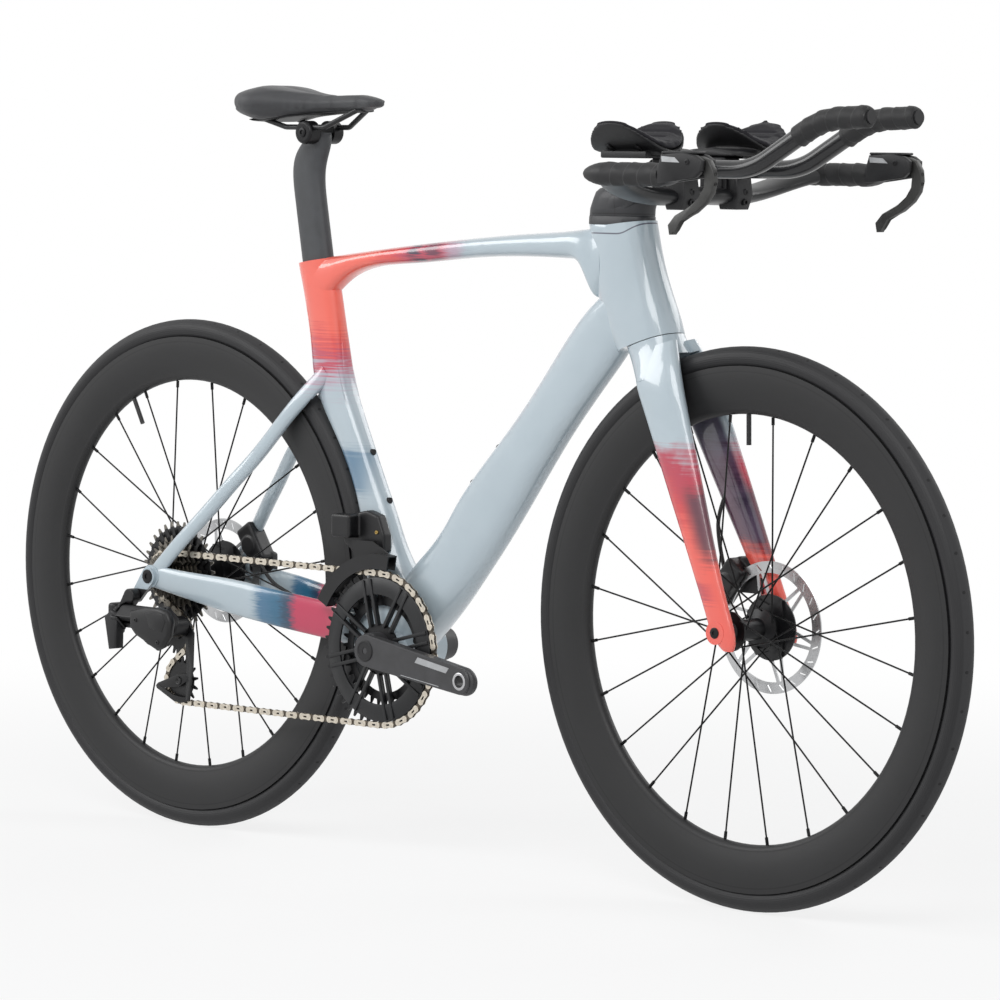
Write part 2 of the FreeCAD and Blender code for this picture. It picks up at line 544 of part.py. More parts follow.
for side in (-1, 1):
    rails.append(bent_tube([
        rail_line + at(-size.rail_rear_reach, size.rail_rear_rise, side * size.rail_rear_spread / 2),
        rail_line + at(-size.rail_straight * rail_split_shares[0], 0, side * rail_half),
        rail_line + at(size.rail_straight * rail_split_shares[1], 0, side * rail_half),
        rail_line + at(size.rail_front_reach, size.rail_front_rise, side * size.rail_front_spread / 2)],
        size.rail_bend, size.rail_radius))
rail_set = group(rails)
saddle_base = largest(saddle_base.cut(rails))
keep("saddle_rails", rail_set.cut(saddle_cover))
keep("saddle_base", saddle_base.cut(saddle_cover))
keep("saddle_cover", saddle_cover)

# Fork: a crown under the head tube that divides round the wheel into two raked blades
crown_shares = (  # drop, ahead, behind, half width
    (0.0, 0.43, 0.57, 0.50), (0.35, 0.47, 0.51, 0.55), (0.75, 0.53, 0.43, 0.66), (1.1, 0.57, 0.36, 0.74))
blade_shares = (  # along, side, half depth, half width, tilt of the section
    (0.0, 0.30, 0.46, 0.40, 1.0), (0.05, 0.42, 0.48, 0.44, 0.75), (0.11, 0.545, 0.50, 0.46, 0.4),
    (0.227, 0.65, 0.485, 0.40, 0.0), (0.469, 0.775, 0.40, 0.35, 0.0), (0.679, 0.88, 0.32, 0.30, 0.0),
    (0.80, 0.935, 0.285, 0.265, 0.0), (0.918, 0.975, 0.27, 0.23, 0.0), (1.0, 1.0, 0.22, 0.20, 0.0),
    (1.035, 1.0, 0.10, 0.12, 0.0))
crown_top = size.crown_reach - size.crown_gap
fork_inner = size.front_spacing / 2
fork_outer = fork_inner + size.fork_dropout_thickness
blade_side = (fork_inner + fork_outer) / 2
blade_start = steer_point(size.crown_reach - size.blade_top_drop, size.blade_top_forward)
blade_line = front_axle + at(size.blade_end_forward, -size.blade_end_drop) - blade_start
crown = loft([
    section(steer_point(crown_top - drop * size.crown_depth), steer_ahead, Y, ahead * size.crown_front,
            behind * size.crown_front, wide * size.crown_width) for drop, ahead, behind, wide in crown_shares])
fork_parts = [crown]
for side in (-1, 1):
    fork_parts.append(loft([
        section(blade_start + blade_line * along + Y * (side * out * blade_side), flat_turn(head_tilt * tilt), Y,
                deep * size.blade_depth, deep * size.blade_depth, wide * size.blade_width, 2.3)
        for along, out, deep, wide, tilt in blade_shares]))
    fork_parts.append(rod(front_axle + Y * (side * fork_inner), front_axle + Y * (side * fork_outer),
                          size.fork_dropout_radius))
front_hub_room = rod(front_axle - Y * fork_inner, front_axle + Y * fork_inner, size.fork_dropout_radius * 2)
fork = largest(joined(*fork_parts).cut([
    wheel_room(front_axle), front_hub_room, through_axle(front_axle, size.front_axle_radius + size.axle_gap)]))
steerer_top = stem_foot + size.steerer_in_stem
steerer_root_share = 0.3
fork = joined(fork, steer_rod(crown_top - size.crown_depth * steerer_root_share, steerer_top, size.steerer_radius))
keep("fork", fork)
for label, place, spread, extra in (
        ("front_axle", front_place, "(Sizes.front_spacing / 2 + Sizes.fork_dropout_thickness)", ""),
        ("rear_axle", rear_place, "(Sizes.rear_spacing / 2 + Sizes.dropout_thickness)",
         " - Sizes.hanger_thickness")):
    keep_bound(label, bound_cylinder(label, "Sizes.%s_radius" % label, "-" + spread + extra, spread, place))

# Wheels: tyre and rim are turned, the hub too, and the crossed spokes are set beside the flanges
rim_outer = "(Sizes.wheel_radius - Sizes.tyre_height)"
rim_nose = "(Sizes.wheel_radius - Sizes.tyre_height - Sizes.rim_depth)"
rim_belly_shares, rim_shoulder_shares, rim_lip_share = (0.56, 0.97), (0.14, 0.60), 0.95


def rim_point(up, wide):
    return "%s + Sizes.rim_depth * %g" % (rim_nose, up), "Sizes.rim_width / 2 * %g" % wide


def wheel(prefix, place, axle, spacing, flange_left, flange_right, rotor_side, bore):
    bead, well = "Sizes.bead_width / 2", rim_outer + " - Sizes.rim_well"
    inside = "(%s - Sizes.axle_gap)" % bead
    turned(prefix + "_tyre", [
        (well + " + Sizes.axle_gap", "-" + inside), (rim_outer, "-" + inside, "Sizes.wheel_radius", "0"),
        (rim_outer, inside), (well + " + Sizes.axle_gap", inside)], place)
    lip = "Sizes.rim_width / 2 * %g" % rim_lip_share
    belly, shoulder = rim_point(*rim_belly_shares), rim_point(*rim_shoulder_shares)
    turned(prefix + "_rim_ring", [
        (rim_outer, bead), (rim_outer, lip, belly[0], belly[1]), (shoulder[0], shoulder[1], rim_nose, "0"),
        (shoulder[0], "-" + shoulder[1], belly[0], "-" + belly[1]), (rim_outer, "-" + lip), (rim_outer, "-" + bead),
        (well, "-" + bead), (well, bead)], place)
    doc.recompute()
    ring_body = pieces.pop(prefix + "_rim_ring")
    nose = size.wheel_radius - size.tyre_height - size.rim_depth
    valve_way = flat_turn(valve_angles[prefix])
    valve = rod(axle + valve_way * (nose - size.valve_length), axle + valve_way * (nose - thin_gap),
                size.valve_radius)
    keep(prefix + "_rim", group([ring_body.Shape.Solids[0], valve]))

    half, flange_half = "Sizes.%s / 2" % spacing, "Sizes.flange_thickness / 2"
    barrel, cap, rim_of_flange = "Sizes.hub_barrel_radius", "Sizes.hub_cap_radius", "Sizes.flange_radius"
    left, right = "Sizes." + flange_left, "-Sizes." + flange_right
    turned(prefix + "_hub", [
        (bore, "-" + half), (cap, "-" + half), (cap, right + " - Sizes.flange_thickness * 2"),
        (barrel, right + " - " + flange_half), (rim_of_flange, right + " - " + flange_half),
        (rim_of_flange, right + " + " + flange_half), (barrel, right + " + Sizes.flange_thickness * 2"),
        (barrel, left + " - Sizes.flange_thickness * 2"), (rim_of_flange, left + " - " + flange_half),
        (rim_of_flange, left + " + " + flange_half), ("Sizes.rotor_seat_radius", left + " + Sizes.flange_thickness"),
        ("Sizes.rotor_seat_radius", "%s - Sizes.%s + Sizes.rotor_thickness" % (half, rotor_side)),
        (cap, "%s - Sizes.%s + Sizes.rotor_thickness" % (half, rotor_side)), (cap, half), (bore, half)], place)

    spokes = []
    for k in range(spokes_per_wheel):
        hand = 1 if k % 2 else -1
        ahead = 1 if (k // 2) % 2 else -1
        flange = getattr(size, flange_left) if hand > 0 else -getattr(size, flange_right)
        rim_turn = 360 * (k + 0.5) / spokes_per_wheel
        offset = size.flange_thickness / 2 + size.spoke_radius + size.spoke_gap
        hole_circle = size.flange_radius - size.spoke_hole_inset
        start = flat_turn(rim_turn + ahead * spoke_cross_angle) * hole_circle \
            + Y * (flange + ahead * hand * offset)
        end = flat_turn(rim_turn) * (nose - thin_gap * 2)
        way = (end - start).normalize()
        spokes.append(rod(axle + start, axle + end - way * size.nipple_length, size.spoke_radius))
        spokes.append(rod(axle + end - way * size.nipple_length, axle + end, size.nipple_radius))
    fused = [joined(spokes[k], spokes[k + 1]) for k in range(0, len(spokes), 2)]
    keep(prefix + "_spokes", group(fused))


valve_angles = {"front": 91, "rear": 118}
wheel("front", front_place, front_axle, "front_spacing", "front_flange_left", "front_flange_right",
      "front_rotor_offset", "Sizes.front_axle_radius + Sizes.axle_gap")
wheel("rear", rear_place, rear_axle, "rear_spacing", "rear_flange_left", "rear_flange_right",
      "rear_rotor_offset", "Sizes.rear_axle_radius + Sizes.axle_gap")

# Brake rotors: a slotted steel band on slanted arms, riveted to a star-shaped carrier
rotor_arms, rotor_slots, star_points = 12, 24, 6
arm_slant, slot_slant, star_valley_share, arm_root_share = 24, 35, 0.68, 0.80
rivet_inset_share, rivet_height_share, slot_reach_share = 1.8, 0.6, 0.36


def disc_brake(prefix, axle, side, radius):
    face = axle + Y * (side - size.rotor_thickness / 2)
    through = Y * size.rotor_thickness
    inner = radius - size.rotor_band
    band = ring(radius, inner, face, face + through)
    slots, arms = [], []
    for k in range(rotor_slots):
        turn = 360 * k / rotor_slots
        out = flat_turn(turn)
        way = flat_turn(turn + slot_slant)
        cross = flat_turn(turn + slot_slant + 90)
        middle = face - through + out * (inner + size.rotor_band / 2)
        reach, half = way * (size.rotor_band * slot_reach_share), cross * (size.rotor_slot_width / 2)
        slots.append(prism([middle - reach - half, middle + reach - half, middle + reach + half,
                            middle - reach + half], through * 3))
    for k in range(rotor_arms):
        turn = 360 * k / rotor_arms
        start = face + flat_turn(turn) * (size.carrier_radius * arm_root_share)
        lean = (arm_slant if k % 2 else -arm_slant) / 2
        end = face + flat_turn(turn + lean) * (inner + size.rotor_arm_width / 2)
        way = (end - start).normalize()
        half = way.cross(Y) * (size.rotor_arm_width / 2)
        arms.append(prism([start - half, end - half, end + half, start + half], through))
    hub_ring = ring(size.carrier_radius, size.carrier_radius * star_valley_share, face, face + through)
    steel = largest(joined(band, hub_ring, *arms).cut(slots))
    back = face - Y * size.carrier_thickness
    star = []
    for k in range(star_points * 2):
        reach = size.carrier_radius * (1 if k % 2 else star_valley_share)
        star.append(back + flat_turn(360 * (k - 1) / (star_points * 2)) * reach)
    carrier = prism(star, Y * size.carrier_thickness)
    carrier = largest(carrier.cut(through_axle(axle, size.rotor_seat_radius + thin_gap)))
    rivets, rivet_circle = [], size.carrier_radius - size.rivet_radius * rivet_inset_share
    for k in range(star_points):
        spot = face + through + flat_turn(360 * k / star_points) * (rivet_circle)
        rivets.append(rod(spot, spot + Y * (size.rotor_thickness * rivet_height_share), size.rivet_radius))
    keep(prefix + "_rotor", group([steel, carrier] + rivets))


front_rotor_side = fork_inner - size.front_rotor_offset
rear_rotor_side = size.rear_spacing / 2 - size.rear_rotor_offset
disc_brake("front", front_axle, front_rotor_side, size.front_rotor_radius)
disc_brake("rear", rear_axle, rear_rotor_side, size.rear_rotor_radius)

# Sprockets: a straight-flanked tooth between roller seats, repeated round the disc
tooth_floor_share, tooth_floor_width_share, tooth_tip_share = 1.17, 0.70, 0.19


def pitch_radius(teeth):
    return size.chain_pitch / (2 * math.sin(math.pi / teeth))


def sprocket(centre, teeth, phase, thickness, bore):
    radius = pitch_radius(teeth)
    floor = radius - size.roller_radius * tooth_floor_share
    tip = radius + size.tooth_height
    floor_turn = math.degrees(size.roller_radius * tooth_floor_width_share / floor)
    tip_turn = 180 / teeth - math.degrees(size.chain_pitch * tooth_tip_share / 2 / tip)
    points = []
    for k in range(teeth):
        turn = phase + 360 * k / teeth
        for reach, offset in ((floor, -floor_turn), (floor, floor_turn), (tip, tip_turn),
                              (tip, 360 / teeth - tip_turn)):
            points.append(centre + flat_turn(turn + offset) * reach)
    half = Y * (thickness / 2)
    disc = prism([p - half for p in points], half * 2)
    return disc.cut(rod(centre - half * 2, centre + half * 2, bore))


# Chain path: a belt round the cog in use, the big ring and the two jockey pulleys, told which way it turns
chain_side = Y * -size.chain_line
guide_at = rear_axle + at(size.guide_forward, -size.guide_drop)
loop_teeth, loop_turns = (teeth_in_use, teeth_big_ring, teeth_tension, teeth_guide), (-1, -1, -1, 1)


def tension_at(cage_angle):
    return guide_at + flat_turn(cage_angle) * size.cage_length


def chain_path(cage_angle):
    centres = (rear_axle, bb, tension_at(cage_angle), guide_at)
    runs = []
    for k in range(len(centres)):
        after = (k + 1) % len(centres)
        line = centres[after] - centres[k]
        reach, next_reach = (loop_turns[n] * pitch_radius(loop_teeth[n]) for n in (k, after))
        heading = math.degrees(math.atan2(line.z, line.x) + math.asin((reach - next_reach) / line.Length))
        beside = flat_turn(heading - 90)
        runs.append((centres[k] + beside * reach, centres[after] + beside * next_reach, heading))
    path = []
    for k, (start, end, heading) in enumerate(runs):
        path.append(("run", start, end, (end - start).Length))
        after = (k + 1) % len(centres)
        turn = ((runs[after][2] - heading) * loop_turns[after]) % 360
        reach = pitch_radius(loop_teeth[after])
        path.append(("wrap", centres[after], (end - centres[after], loop_turns[after]), math.radians(turn) * reach))
    return path


def path_point(path, along):
    along = along % sum(part[3] for part in path)
    for kind, first, second, length in path:
        if along <= length:
            break
        along -= length
    if kind == "run":
        return first + (second - first) * (along / length)
    arm, way = second
    return first + Rotation(Y, -math.degrees(along / arm.Length) * way).multVec(arm)


pitch_search_shares, pitch_search_steps = (0.99, 1.2), 40


def chain_pins(cage_angle, links):
    path = chain_path(cage_angle)
    along, pins, places = 0.0, [], []
    for k in range(links + 1):
        pins.append(path_point(path, along))
        places.append(along)
        low, high = (along + size.chain_pitch * share for share in pitch_search_shares)
        for step in range(pitch_search_steps):
            along = (low + high) / 2
            if (path_point(path, along) - pins[-1]).Length < size.chain_pitch:
                low = along
            else:
                high = along
    return pins, places[-1] - sum(part[3] for part in path)


# The cage swings until the loop is a whole, even number of links
whole = sum(part[3] for part in chain_path(size.cage_angle)) / size.chain_pitch
chain_links = 2 * round((whole - 0.3) / 2)
low_angle, high_angle = size.cage_angle - size.cage_search, size.cage_angle + size.cage_search
for step in range(30):
    cage_angle = (low_angle + high_angle) / 2
    if chain_pins(cage_angle, chain_links)[1] > 0:
        low_angle, high_angle = low_angle, cage_angle
    else:
        low_angle, high_angle = cage_angle, high_angle
pins, slack = chain_pins(cage_angle, chain_links)
pins = pins[:-1]
print("chain links", chain_links, "cage angle", round(cage_angle, 3), "closing gap", round(slack, 5))


def seated_phase(centre, teeth):
    seated = [pin for pin in pins if abs((pin - centre).Length - pitch_radius(teeth)) < thin_gap / 100]
    return math.degrees(math.atan2(seated[1].z - centre.z, seated[1].x - centre.x))


# Chain links: inner links carry the rollers, outer links the pins that turn in them
plate_end_share, plate_shoulder_share = 1.0, 0.45
inner_half = size.chain_inner_width / 2
outer_half = inner_half + size.plate_thickness + size.plate_gap


def link_plate(first, second, side):
    way = (second - first).normalize()
    up = Vector(-way.z, 0, way.x) * (size.plate_height / 2)
    end, shoulder = (way * (size.plate_height / 2 * share) for share in (plate_end_share, plate_shoulder_share))
    outline = [first - end, first - shoulder + up, second + shoulder + up, second + end,
               second + shoulder - up, first - shoulder - up]
    return prism([p + chain_side + Y * side for p in outline], Y * size.plate_thickness)


links = []
for k in range(chain_links):
    first, second = pins[k], pins[(k + 1) % chain_links]
    half = inner_half if k % 2 == 0 else outer_half
    solids = [link_plate(first, second, half), link_plate(first, second, -half - size.plate_thickness)]
    for pin in (first, second):
        centre = pin + chain_side
        if k % 2 == 0:
            solids.append(rod(centre - Y * half, centre + Y * half, size.roller_radius))
        else:
            reach = Y * (half + size.plate_thickness)
            solids.append(rod(centre - reach, centre + reach, size.pin_radius))
    link = solids[0].fuse(solids[1:])
    if k % 2 == 0:
        link = link.cut([rod(pin + chain_side - Y * size.chain_pitch, pin + chain_side + Y * size.chain_pitch,
                             size.pin_radius + size.plate_gap) for pin in (first, second)])
    links.append(link.Solids[0])
keep("chain", group(links))

# Cassette: cogs on spacers, smaller outwards, and the freehub body that carries them
cog_in_use = teeth_cassette.index(teeth_in_use)
narrow_cogs = sum(teeth < teeth_in_use - 2 for teeth in teeth_cassette)
cogs = []
for k, teeth in enumerate(teeth_cassette):
    side = -size.chain_line - (cog_in_use - k) * size.cog_step
    centre = rear_axle + Y * side
    phase = seated_phase(rear_axle, teeth) if teeth == teeth_in_use else 0
    bore = size.cog_small_bore if k < narrow_cogs else size.cog_bore
    cog = sprocket(centre, teeth, phase, size.sprocket_thickness, bore)
    if k < len(teeth_cassette) - 1:
        start = centre + Y * (size.sprocket_thickness / 2)
        end = centre + Y * (size.cog_step - size.sprocket_thickness / 2)
        cog = joined(cog, ring(bore + size.cog_spacer_wall, bore, start, end))
    cogs.append(cog)
keep("cassette", group(cogs))
first_side = -size.chain_line - cog_in_use * size.cog_step
neck_side = -size.chain_line - (cog_in_use - narrow_cogs) * size.cog_step - size.sprocket_thickness / 2
last_side = -size.chain_line + (len(teeth_cassette) - 1 - cog_in_use) * size.cog_step + size.sprocket_thickness / 2
freehub = joined(rod(rear_axle + Y * neck_side, rear_axle + Y * last_side, size.cog_bore - thin_gap),
                 rod(rear_axle + Y * (first_side - size.sprocket_thickness), rear_axle + Y * neck_side,
                     size.cog_small_bore - thin_gap))
keep("freehub_body", freehub.cut(through_axle(rear_axle, size.hub_cap_radius + size.clearance)))

# Chainrings: a toothed band on eight pairs of ribs, and the small ring held behind it on studs
rib_pairs, rib_root_share = 8, 0.90
big_radius, small_radius = pitch_radius(teeth_big_ring), pitch_radius(teeth_small_ring)
ring_at = bb + chain_side
rib_start, rib_end = size.ring_hub_radius * rib_root_share, big_radius - size.ring_band + size.ring_rib_width
ribs = []
for k in range(rib_pairs):
    out = flat_turn(360 * (k + 0.5) / rib_pairs - size.crank_drop)
    beside = Vector(-out.z, 0, out.x)
    for hand in (-1, 1):
        inner_edge = beside * (hand * (size.ring_rib_gap / 2))
        outer_edge = beside * (hand * (size.ring_rib_gap / 2 + size.ring_rib_width))
        foot = ring_at - Y * (size.ring_plate / 2)
        ribs.append(prism([foot + out * rib_start + inner_edge, foot + out * rib_end + inner_edge,
                           foot + out * rib_end + outer_edge, foot + out * rib_start + outer_edge],
                          Y * size.ring_plate))
ring_face, ring_back = ring_at - Y * (size.ring_plate / 2), ring_at + Y * (size.ring_plate / 2)
ring_hub = ring(size.ring_hub_radius, size.spindle_radius + thin_gap, ring_face, ring_back)
big_band = sprocket(ring_at, teeth_big_ring, seated_phase(bb, teeth_big_ring), size.sprocket_thickness,
                    big_radius - size.ring_band)
big_rim = ring(big_radius - size.ring_band + size.ring_rib_width, big_radius - size.ring_band, ring_face, ring_back)
big_ring = joined(big_band, big_rim, ring_hub, *ribs)
small_at = ring_at + Y * size.ring_step
small_ring = sprocket(small_at, teeth_small_ring, 0, size.sprocket_thickness, small_radius - size.ring_band)
stud_radius = small_radius - size.ring_band / 2
studs = []
for k in range(rib_pairs):
    spot = ring_back + flat_turn(360 * (k + 0.5) / rib_pairs - size.crank_drop) * stud_radius
    studs.append(rod(spot, Vector(spot.x, small_at.y, spot.z), size.ring_stud_radius))
small_ring = joined(small_ring, *studs)
keep("chainrings", group([big_ring, small_ring]))

# Crank arms: hollow-looking tapered arms from the spindle to the pedal eye
spindle_end_share = 0.3
crank_shares = (  # along, half height, half thickness
    (-0.115, 0.16, 0.30), (-0.095, 0.33, 0.42), (-0.05, 0.47, 0.48), (0.0, 0.50, 0.50), (0.2, 0.45, 0.50),
    (0.5, 0.40, 0.48), (0.8, 0.41, 0.46), (1.0, 0.46, 0.46), (1.06, 0.42, 0.44), (1.10, 0.30, 0.38),
    (1.12, 0.14, 0.28))
crank_ways = {"right": (-1, flat_turn(-size.crank_drop)), "left": (1, flat_turn(180 - size.crank_drop))}
spindle_reach = size.crank_face - size.crank_thickness * spindle_end_share
spindle = rod(bb - Y * spindle_reach, bb + Y * spindle_reach, size.spindle_radius)
for hand, (side, way) in crank_ways.items():
    middle = bb + Y * (side * (size.crank_face - size.crank_thickness / 2))
    up = Vector(-way.z, 0, way.x)
    arm = loft([section(middle + way * (along * size.crank_length), up, Y, high * size.crank_height,
                        high * size.crank_height, thick * size.crank_thickness, 2.8)
                for along, high, thick in crank_shares])
    boss_start = size.chain_line + size.ring_plate / 2 if hand == "right" else \
        size.bb_shell_width / 2 + size.cup_flange_width + size.clearance * 3
    boss = rod(bb + Y * (side * boss_start), middle, size.crank_boss_radius)
    eye = bb + way * size.crank_length
    insert = ring(size.pedal_insert_radius, size.pedal_hole_radius, eye + Y * (side * (size.crank_face
                  - size.crank_thickness)), eye + Y * (side * size.crank_face))
    eye_hole = rod(eye, eye + Y * (side * size.crank_face * 2), size.pedal_insert_radius)
    arm = largest(joined(arm, boss).cut([eye_hole, spindle]))
    keep("crank_arm_" + hand, group([arm, insert]))
keep_bound("crank_spindle", bound_cylinder(
    "crank_spindle", "Sizes.spindle_radius", "-(Sizes.crank_face - Sizes.crank_thickness * %s)" % spindle_end_share,
    "Sizes.crank_face - Sizes.crank_thickness * %s" % spindle_end_share, bb_place))


def hull_plate(circles, start, way):
    # A flat plate whose outline wraps the circles in turn, given as centre and radius, counter-clockwise
    edges, spans = [], []
    for k, (centre, radius) in enumerate(circles):
        after, next_radius = circles[(k + 1) % len(circles)]
        line = after - centre
        heading = math.degrees(math.atan2(line.z, line.x) + math.asin((radius - next_radius) / line.Length))
        beside = flat_turn(heading - 90)
        spans.append((centre + beside * radius, after + beside * next_radius, heading))
    for k, (first, second, heading) in enumerate(spans):
        after = (k + 1) % len(spans)
        centre, radius = circles[after]
        edges.append(Part.LineSegment(first + start, second + start).toShape())
        turn = (spans[after][2] - heading) % 360
        if turn > 0.01:
            middle = centre + flat_turn(heading - 90 + turn / 2) * radius
            edges.append(Part.Arc(second + start, middle + start, spans[after][0] + start).toShape())
    return Part.Face(Part.Wire(edges)).extrude(way)


# Hanger on the right dropout
hanger_bolt = rear_axle + at(-size.rd_bolt_back, -size.rd_bolt_drop)
hanger_face = -dropout_outer - size.hanger_thickness
hanger_top_share, seat_gap_share = 0.8, 0.1
seat_gap = size.clearance * seat_gap_share
hanger = hull_plate([(hanger_bolt, size.hanger_radius), (rear_axle, size.dropout_radius * hanger_top_share)],
                    Y * hanger_face, Y * (size.hanger_thickness - seat_gap))
keep("derailleur_hanger", hanger.cut([rear_hole, rod(hanger_bolt - Y * size.rear_spacing, hanger_bolt,
                                                     size.rd_bolt_radius + thin_gap)]))

# Rear derailleur: knuckle on the hanger, two parallel links on slanted pins, and the knuckle of the cage
pin_way = Vector(0, math.cos(math.radians(size.pin_slant)), math.sin(math.radians(size.pin_slant)))
pin_step = Vector(0, math.sin(math.radians(size.pin_slant)), -math.cos(math.radians(size.pin_slant)))
outer_pin = hanger_bolt + at(-size.rd_pin_back, -size.rd_pin_drop, -size.rd_pin_side)
inner_pin = outer_pin + pin_step * size.link_spread
link_run = X * size.link_length
barrel_half = pin_way * (size.barrel_length / 2)
ear_thick = pin_way * size.ear_thickness
ear_gap = pin_way * size.clearance
cage_pivot = guide_at + at(size.cage_pivot_forward, size.cage_pivot_rise)
knuckle_inner = -size.chain_line - size.cage_half - size.plate_width - size.clearance
knuckle_outer = knuckle_inner - size.p_knuckle_length


def slanted_bar(points, half_width, lift, length):
    # A rounded bar that lies square to the pins and wraps the given points
    first, last = points
    way = (last - first).normalize()
    beside = way.cross(pin_way) * half_width
    slab = prism([first - beside + lift, last - beside + lift, last + beside + lift, first + beside + lift], length)
    return [slab] + [rod(end + lift, end + lift + length, half_width) for end in points]


def clevis(front_pins, web_way):
    # Two ears with pins between them, closed by a web on the side away from the links
    solids = []
    for lift in (barrel_half + ear_gap, -barrel_half - ear_gap - ear_thick):
        solids += slanted_bar(front_pins, size.ear_radius, lift, ear_thick)
    foot = -barrel_half - ear_gap - ear_thick
    rise = (barrel_half + ear_gap + ear_thick) * 2
    first, last = front_pins
    spread = (last - first).normalize() * size.ear_radius
    near, far = (web_way * (size.ear_radius + out) for out in (size.clearance * 2, size.web_thickness))
    solids.append(prism([first - spread + near + foot, last + spread + near + foot, last + spread + far + foot,
                         first - spread + far + foot], rise))
    for lift in (barrel_half + ear_gap, -barrel_half - ear_gap - ear_thick):
        solids.append(prism([first - spread + lift, last + spread + lift, last + spread + near + lift,
                             first - spread + near + lift], ear_thick))
    for pin in front_pins:
        solids.append(rod(pin + foot, pin + foot + rise, size.rd_pin_radius))
    return solids


fan_gap_share = 1.4


def link_fan(pin, way, half):
    # The room that a link sweeps while it swings on its pin
    wide = half + size.link_room_gap
    lift = pin_way * (size.barrel_length / 2 + size.clearance * fan_gap_share)
    corners = []
    for turn, hand in ((size.link_swing, 1), (-size.link_swing, -1)):
        out = Rotation(pin_way, turn).multVec(way)
        beside = pin_way.cross(out) * (hand * wide)
        corners.append([pin + beside - lift, pin + out * size.link_room_reach + beside - lift])
    wedge = prism(corners[0] + corners[1][::-1], lift * 2)
    return [wedge, rod(pin - lift, pin + lift, wide)]


b_arm_share, battery_back_share, battery_drop_share = 0.68, 0.55, 0.1
hanger_side = Y * (hanger_face - seat_gap)
b_bolt = rod(hanger_bolt - Y * dropout_outer, hanger_bolt + hanger_side, size.rd_bolt_radius)
b_web = (outer_pin + inner_pin) * 0.5 - X * (size.ear_radius + size.web_thickness / 2)
b_arm = (at(b_web.x, b_web.z), size.b_boss_radius * b_arm_share)
b_boss = hull_plate([(hanger_bolt, size.b_boss_radius), b_arm], hanger_side - Y * size.b_boss_length,
                    Y * size.b_boss_length)
battery_at = b_web + at(-size.battery_length * battery_back_share, -size.battery_height * battery_drop_share)
battery = softened(block(battery_at, Vector(size.battery_length, size.battery_width, size.battery_height)),
                   size.battery_round)
b_fans = link_fan(outer_pin, X, size.outer_link_half) + link_fan(inner_pin, X, size.inner_link_half)
b_body = largest(b_boss.cut(b_fans))
keep("rd_b_knuckle", largest(joined(b_body, battery, b_bolt, *clevis([outer_pin, inner_pin], -X))))

for label, pin, half in (("rd_outer_link", outer_pin, size.outer_link_half), ("rd_inner_link", inner_pin,
                                                                           size.inner_link_half)):
    bar = joined(*slanted_bar([pin, pin + link_run], half, -barrel_half, barrel_half * 2))
    holes = [rod(spot - barrel_half * 2, spot + barrel_half * 2, size.rd_pin_radius + size.clearance)
             for spot in (pin, pin + link_run)]
    keep(label, bar.cut(holes))

p_pins = [outer_pin + link_run, inner_pin + link_run]
p_web = (p_pins[0] + p_pins[1]) * 0.5 + X * (size.ear_radius + size.web_thickness / 2)
p_body = rod(cage_pivot + Y * knuckle_inner, cage_pivot + Y * knuckle_outer, size.p_knuckle_radius)
p_neck_foot = cage_pivot + Y * (knuckle_outer + size.p_knuckle_radius * 0.5)
p_neck = rod(p_neck_foot, p_web, size.p_knuckle_radius * 0.5)
pivot_hole = rod(cage_pivot + Y * (knuckle_outer + size.knuckle_skin), cage_pivot,
                 size.cage_pin_radius + size.clearance)
p_fans = link_fan(p_pins[0], -X, size.outer_link_half) + link_fan(p_pins[1], -X, size.inner_link_half)
p_knuckle = joined(p_body, p_neck).cut(p_fans)
p_knuckle = joined(largest(p_knuckle), *clevis(p_pins, X)).cut(pivot_hole)
keep("rd_p_knuckle", largest(p_knuckle))

# Cage: two plates on the pulley axles, the outer one with the pin that turns in the knuckle
tension_pulley = tension_at(cage_angle)
guide_axle, tension_axle = guide_at, tension_pulley
inner_spots = [(tension_axle, size.cage_lower_radius), (guide_axle, size.cage_upper_radius)]
plate_spots = [inner_spots[0], (cage_pivot, size.cage_pivot_radius), inner_spots[1]]
outer_side = Y * (-size.chain_line - size.cage_half - size.plate_width)
inner_side = Y * (-size.chain_line + size.cage_half)
plate_way = Y * size.plate_width
cage_solids = [hull_plate(plate_spots, outer_side, plate_way), hull_plate(inner_spots, inner_side, plate_way)]
for axle in (guide_axle, tension_axle):
    cage_solids.append(rod(axle + outer_side, axle + inner_side + plate_way, size.pulley_axle_radius))
cage_solids.append(rod(cage_pivot + outer_side, cage_pivot + outer_side - Y * size.cage_pin_length,
                       size.cage_pin_radius))
cage_middle = (tension_axle + guide_axle) / 2
window = rod(cage_middle + outer_side - plate_way, cage_middle + inner_side + plate_way * 2, size.cage_window_radius)
keep("rd_cage", largest(joined(*cage_solids).cut(window)))
for label, axle, teeth in (
        ("guide_pulley", guide_axle, teeth_guide), ("tension_pulley", tension_axle, teeth_tension)):
    pulley = sprocket(axle + chain_side, teeth, seated_phase(axle, teeth), size.sprocket_thickness,
                      size.pulley_axle_radius + size.clearance)
    hub_half = Y * (size.cage_half - size.clearance * 2)
    collar = ring(size.pulley_hub_radius, size.pulley_axle_radius + size.clearance,
                  axle + chain_side - hub_half, axle + chain_side + hub_half)
    keep(label, joined(pulley, collar))

